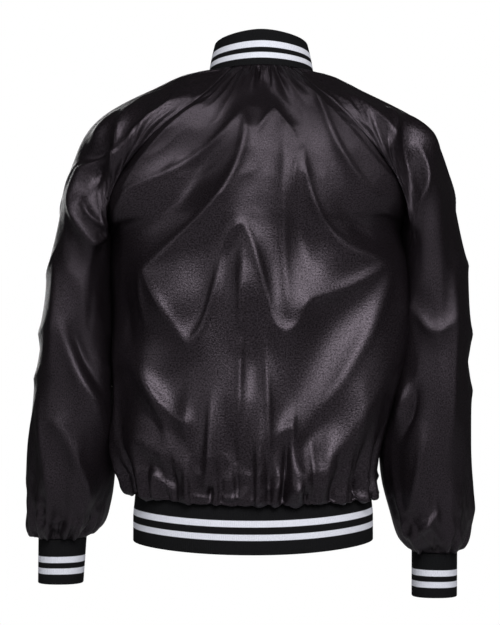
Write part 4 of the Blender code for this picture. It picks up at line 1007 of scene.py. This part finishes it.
# %% The collar
def collar_lines():
    """The neck seam and the collar's top, point for point."""
    end = math.pi - COLLAR_ENDS / NECK["x"][3]
    seam = evenly(neck_ring(np.linspace(end, -end, 600)), rib_steps(COLLAR_LENGTH))
    turn = np.arctan2(seam[:, 0] - NECK_MIDDLE_X, seam[:, 1] + 0.004)
    size = np.degrees(np.abs(turn))
    scale, forward, rise = (round_neck(COLLAR, c, size) for c in ("scale", "forward", "up"))
    middle = np.array([NECK_MIDDLE_X, -0.006, 0.0])
    top = middle + (seam - middle) * np.stack([scale, scale, 1 + 0 * scale], axis=1)
    top += np.stack([0 * rise, -forward, rise], axis=1)
    return [seam + (top - seam) * np.array([s ** 1.35, s ** 1.35, s]) for s in (0.0, 0.25, 0.5, 0.75, 0.975)]


collar = knit_piece("collar", collar_lines())

# %% [markdown]
# ## The waistband
#
# The waistband closes over itself in front, like the satin above it.  A flattened tube would
# be quick, but couldn't overlap its own end.  So its seam is an oval that runs a little more
# than once round, and the band hangs from it.

# %% The waistband
def waist_ring(steps):
    """The waist seam: from the right end under the closing, round the right side, the back
    and the left side, to the left end over the closing.  x and y run as |sin|^(2/n) and
    |cos|^(2/n) of the turn."""
    left, right = LOWER["left"][0], LOWER["right"][0]
    back_depth, front_depth = LOWER["back"][0], LOWER["front"][0]
    past = OVERLAP / left
    turn = np.linspace(-math.pi - past, math.pi + past, 1200)
    wrapped = (turn + math.pi) % (2 * math.pi) - math.pi
    s, c = np.sin(wrapped), np.cos(wrapped)
    x, y = np.sign(s) * np.abs(s) ** (2.0 / ROUNDNESS), np.sign(c) * np.abs(c) ** (2.0 / ROUNDNESS)
    width, depth = np.where(x > 0, left, right), np.where(y > 0, back_depth, front_depth)
    side_z = np.where(x > 0, LOWER["z_left"][0], LOWER["z_right"][0])
    end_z = np.where(y > 0, LOWER["z_back"][0], LOWER["z_front"][0])
    points = np.stack([WAIST_MIDDLE_X + x * width, y * depth, end_z + (side_z - end_z) * x * x], axis=1)
    over = (turn > math.pi / 2) | (turn < -math.pi)
    across = np.where(turn > math.pi / 2, points[:, 0] - WAIST_MIDDLE_X, 1.0)
    points[:, 1] -= np.where(over, overlap_step(across), 0.0)
    return evenly(points, steps)


def waistband_lines():
    """The band from its seam to its lower edge, a little wider in the middle."""
    top = waist_ring(rib_steps(WAISTBAND_LENGTH))
    flat = top - np.array([WAIST_MIDDLE_X, 0.0, 0.0])
    flat[:, 2] = 0.0
    lines = []
    for s in (0.006, 0.25, 0.5, 0.75, 0.985):
        flare = (-WAISTBAND_INSET + (WAISTBAND_FLARE + WAISTBAND_INSET) * smooth(2 * s)
                 + (WAISTBAND_HEM - WAISTBAND_FLARE) * s)
        lines.append(top + flare * unit(flat) - np.array([0.0, 0.0, s * WAISTBAND_HEIGHT]))
    return lines


waistband = knit_piece("waistband", waistband_lines())

# %% [markdown]
# ## The cuffs
#
# A cuff joins two ovals: one just below the end of the gathered sleeve, and one round the
# wrist.  Straight lines between them are enough, because knit pulls itself straight.

# %% The cuffs
def cuff_lines(side):
    """From the sleeve's last oval to the wrist."""
    rows, size = SLEEVE[side], CUFF[side]
    last = {name: rows[name][-1] for name in rows}
    steps = rib_steps(CUFF_LENGTH) // 2
    even = (0.0, np.linspace(0, 1, steps + 1))
    reach = math.copysign(size["half_x"], size["end_x"])
    end = dict(outer_x=size["end_x"] + reach, outer_z=size["end_z"],
               inner_x=size["end_x"] - reach, inner_z=size["end_z"],
               back=size["end_y"] + size["half_y"], front=size["end_y"] - size["half_y"])
    start, finish = oval(last, steps, even, even), oval(end, steps, even, even)
    return [start + (finish - start) * s for s in (0.006, 0.33, 0.66, 0.98)]


cuffs = {side: knit_piece("cuff_" + side, cuff_lines(side), ring=True)
         for side in ("left", "right")}

# %% [markdown]
# ## Light
#
# A plain studio.  Black satin shows little but its highlights, so one large soft lamp above
# the camera does most of the work, and the facets of the folds decide what lights up.  Two
# weak tall lamps lift the sleeves from the sides, and the last one stands in front of the
# jacket, for a look at its front.  The floor is pale and lies as far down as it would under a
# wearer, and the world is white to look at but lends the cloth little light.

# %% Floor and lamps
FLOOR_HEIGHT, FLOOR_REACH = -1.45, 3.2
FLOOR_CORNERS = ((-1, -1), (1, -1), (1, 1), (-1, 1))
LAMP_AIM = Vector((0.0, 0.0, -0.35))                # the middle of the jacket

ground = np.array([(x * FLOOR_REACH, y * FLOOR_REACH, FLOOR_HEIGHT) for x, y in FLOOR_CORNERS])
floor = new_piece("floor", ground, np.array([[0, 1, 2, 3]]))


def lamp(name, place, size, power):
    """A rectangular soft lamp that looks at the middle of the jacket."""
    data = bpy.data.lights.new(name, "AREA")
    data.shape = "RECTANGLE"
    data.size, data.size_y = size
    data.energy = power
    made = bpy.data.objects.new(name, data)
    made.location = place
    made.rotation_euler = (LAMP_AIM - Vector(place)).to_track_quat("-Z", "Y").to_euler()
    bpy.context.scene.collection.objects.link(made)


lamp("key", (-0.5, 3.0, 1.25), (2.2, 1.5), 122)
lamp("left_fill", (2.5, 2.4, 0.2), (0.7, 1.8), 17)
lamp("right_fill", (-2.5, 2.4, 0.3), (0.7, 1.8), 10)
lamp("front", (0.5, -3.1, 0.15), (2.2, 1.4), 27)

world = bpy.data.worlds.new("studio")
bpy.context.scene.world = world
world.use_nodes = True
air = world.node_tree
seen = air.nodes.new("ShaderNodeLightPath")
strength = air.nodes.new("ShaderNodeMapRange")
strength.inputs["To Min"].default_value = 0.03
strength.inputs["To Max"].default_value = 1.0
air.links.new(seen.outputs["Is Camera Ray"], strength.inputs["Value"])
air.links.new(strength.outputs["Result"], air.nodes["Background"].inputs["Strength"])
air.nodes["Background"].inputs["Color"].default_value = (1, 1, 1, 1)
bpy.context.scene.view_settings.view_transform = "Standard"

# %% [markdown]
# ## Materials
#
# Satin is woven so that long threads float on its face: nearly black in itself, with a
# broad soft shine.  Its grain is a shader node group, so that satin and knit can both use it
# with sizes of their own.  In the satin, the same flecks make the colour, the roughness and
# the strength of the reflection uneven, which breaks the highlights up as real threads do.

# %% Groups that the materials share
def group(name, inputs, outputs):
    """A new shader node group with named number inputs and outputs."""
    made = bpy.data.node_groups.new(name, "ShaderNodeTree")
    for label, value in inputs:
        socket = made.interface.new_socket(label, in_out="INPUT", socket_type="NodeSocketFloat")
        socket.default_value = value
    for label in outputs:
        made.interface.new_socket(label, in_out="OUTPUT", socket_type="NodeSocketFloat")
    return made, made.nodes.new("NodeGroupInput"), made.nodes.new("NodeGroupOutput")


def maths(tree, operation, first, second=None):
    """A Math node; numbers are set, sockets are linked."""
    node = tree.nodes.new("ShaderNodeMath")
    node.operation = operation
    for k, value in enumerate((first, second)):
        if value is None:
            continue
        if isinstance(value, (int, float)):
            node.inputs[k].default_value = value
        else:
            tree.links.new(value, node.inputs[k])
    return node.outputs[0]


def thread_grain():
    """Threads and flecks: sine waves across the UV map, broken by stretched noise."""
    made, source, result = group("thread grain", (("Pitch", 0.0005), ("Length", 6.0), ("Thread", 0.15)),
                                ("Height", "Fleck"))
    uv = made.nodes.new("ShaderNodeUVMap")
    uv.uv_map = "cloth"
    split = made.nodes.new("ShaderNodeSeparateXYZ")
    made.links.new(uv.outputs["UV"], split.inputs[0])
    turns = maths(made, "DIVIDE", split.outputs[0], source.outputs["Pitch"])
    wave = maths(made, "SINE", maths(made, "MULTIPLY", turns, 2 * math.pi))
    join = made.nodes.new("ShaderNodeCombineXYZ")
    made.links.new(turns, join.inputs[0])
    far = maths(made, "MULTIPLY", source.outputs["Pitch"], source.outputs["Length"])
    made.links.new(maths(made, "DIVIDE", split.outputs[1], far), join.inputs[1])
    noise = made.nodes.new("ShaderNodeTexNoise")
    noise.inputs["Scale"].default_value = 0.7
    noise.inputs["Detail"].default_value = 3.0
    made.links.new(join.outputs[0], noise.inputs["Vector"])
    height = maths(made, "ADD", maths(made, "MULTIPLY", wave, source.outputs["Thread"]), noise.outputs["Fac"])
    made.links.new(height, result.inputs["Height"])
    made.links.new(noise.outputs["Fac"], result.inputs["Fleck"])
    return made


GRAIN = thread_grain()


def place_group(tree, which, **values):
    """A group node in a material, with its own values."""
    node = tree.nodes.new("ShaderNodeGroup")
    node.node_tree = which
    for label, value in values.items():
        node.inputs[label].default_value = value
    return node


def bump(tree, height, strength, distance):
    """A Bump node on a height."""
    node = tree.nodes.new("ShaderNodeBump")
    node.inputs["Strength"].default_value = strength
    node.inputs["Distance"].default_value = distance
    tree.links.new(height, node.inputs["Height"])
    return node.outputs["Normal"]


def ramp(tree, factor, low, high, start=0.0, end=1.0):
    """A number from low to high as the factor goes from start to end."""
    node = tree.nodes.new("ShaderNodeMapRange")
    for label, value in (("From Min", start), ("From Max", end), ("To Min", low), ("To Max", high)):
        node.inputs[label].default_value = value
    tree.links.new(factor, node.inputs["Value"])
    return node.outputs["Result"]


def colours(tree, factor, dark, light):
    """A colour from dark to light as the factor goes from 0 to 1."""
    node = tree.nodes.new("ShaderNodeMix")
    node.data_type = "RGBA"
    node.inputs[6].default_value = (*dark, 1.0)
    node.inputs[7].default_value = (*light, 1.0)
    tree.links.new(factor, node.inputs[0])
    return node.outputs[2]


# %% The floor
pale = bpy.data.materials.new("pale floor")
pale.use_nodes = True
pale.node_tree.nodes["Principled BSDF"].inputs["Base Color"].default_value = (0.55, 0.55, 0.56, 1.0)
pale.node_tree.nodes["Principled BSDF"].inputs["Roughness"].default_value = 0.9
floor.data.materials.append(pale)

# %% [markdown]
# ## Black satin
#
# Satin could have a shader whose shine has a direction, but a model loses that when it is
# exported.  Instead the shine is broad and uneven: the roughness and the specular level
# follow the flecks, and low bumps of threads and slubs scatter what is left.

# %% Black satin
SATIN_DARK, SATIN_LIGHT = (0.001, 0.0008, 0.0010), (0.012, 0.0092, 0.0112)
SATIN_TINT = (0.99, 0.85, 1.0, 1.0)          # the shine is a little warmer than the light
ROUGHNESS = (0.28, 0.42, 0.32, 0.68)         # from, to, as the flecks go from, to
SHINE = (0.10, 0.60, 0.36, 0.64)             # the specular level, in the same way
THREAD_BUMP, SLUB_BUMP = 0.00014, 0.00032    # metres


def satin_material():
    """Near-black threads, a broad shine, and a fine grain that breaks the highlights up."""
    made = bpy.data.materials.new("black satin")
    made.use_nodes = True
    tree = made.node_tree
    shader = tree.nodes["Principled BSDF"]
    threads = place_group(tree, GRAIN, Pitch=0.0007, Length=3.0)
    slubs = place_group(tree, GRAIN, Pitch=0.0016, Length=1.0, Thread=0.0)
    flecks = maths(tree, "ADD", maths(tree, "MULTIPLY", threads.outputs["Fleck"], 0.4),
                   maths(tree, "MULTIPLY", slubs.outputs["Fleck"], 0.6))
    tree.links.new(colours(tree, flecks, SATIN_DARK, SATIN_LIGHT), shader.inputs["Base Color"])
    tree.links.new(ramp(tree, flecks, *ROUGHNESS), shader.inputs["Roughness"])
    tree.links.new(ramp(tree, flecks, *SHINE), shader.inputs["Specular IOR Level"])
    height = maths(tree, "ADD", maths(tree, "MULTIPLY", threads.outputs["Height"], THREAD_BUMP),
                   maths(tree, "MULTIPLY", slubs.outputs["Height"], SLUB_BUMP))
    tree.links.new(bump(tree, height, 1.0, 1.0), shader.inputs["Normal"])
    shader.inputs["Specular Tint"].default_value = SATIN_TINT
    return made


satin = satin_material()
for piece in bpy.data.objects:
    if piece.name.endswith("_satin"):
        piece.data.materials.append(satin)

# %% [markdown]
# ## Rib knit with two white stripes
#
# The stripes are knitted in, so they are a colour that depends only on the distance from the
# folded edge, which the UV map's second coordinate holds.  A picture could do it too, but two
# ramps for each stripe stay sharp from close by.

# %% Rib knit
STRIPES = {               # where the white stripes lie above the folded edge, in metres
    "collar": ((0.0178, 0.0269), (0.0340, 0.0416)),
    "waistband": ((0.0212, 0.0299), (0.0402, 0.0495)),
    "cuff": ((0.0163, 0.0253), (0.0336, 0.0429)),
}
STRIPE_SOFT = 0.0003      # half the width over which a stripe's edge changes colour
BLACK_YARN = (0.002, 0.002, 0.0025), (0.007, 0.007, 0.008)
WHITE_YARN = (0.56, 0.57, 0.64), (0.74, 0.75, 0.82)


def knit_material(name, stripes):
    """Knit whose stripes lie between heights above the folded edge."""
    made = bpy.data.materials.new(name)
    made.use_nodes = True
    tree = made.node_tree
    shader = tree.nodes["Principled BSDF"]
    uv = tree.nodes.new("ShaderNodeUVMap")
    uv.uv_map = "cloth"
    split = tree.nodes.new("ShaderNodeSeparateXYZ")
    tree.links.new(uv.outputs["UV"], split.inputs[0])
    height = split.outputs[1]
    white = None
    for low, high in stripes:
        inside = maths(tree, "MULTIPLY", ramp(tree, height, 0, 1, low - STRIPE_SOFT, low + STRIPE_SOFT),
                       ramp(tree, height, 1, 0, high - STRIPE_SOFT, high + STRIPE_SOFT))
        white = inside if white is None else maths(tree, "ADD", white, inside)
    grain = place_group(tree, GRAIN, Pitch=0.00145, Length=0.9)
    black = colours(tree, grain.outputs["Fleck"], *BLACK_YARN)
    pale = colours(tree, grain.outputs["Fleck"], *WHITE_YARN)
    mix = tree.nodes.new("ShaderNodeMix")
    mix.data_type = "RGBA"
    tree.links.new(white, mix.inputs[0])
    tree.links.new(black, mix.inputs[6])
    tree.links.new(pale, mix.inputs[7])
    tree.links.new(mix.outputs[2], shader.inputs["Base Color"])
    tree.links.new(bump(tree, grain.outputs["Height"], 0.5, 0.0004), shader.inputs["Normal"])
    shader.inputs["Roughness"].default_value = 0.9
    shader.inputs["Specular IOR Level"].default_value = 0.12
    return made


collar.data.materials.append(knit_material("collar knit", STRIPES["collar"]))
waistband.data.materials.append(knit_material("waistband knit", STRIPES["waistband"]))
for side in ("left", "right"):
    cuffs[side].data.materials.append(knit_material(f"{side} cuff knit", STRIPES["cuff"]))
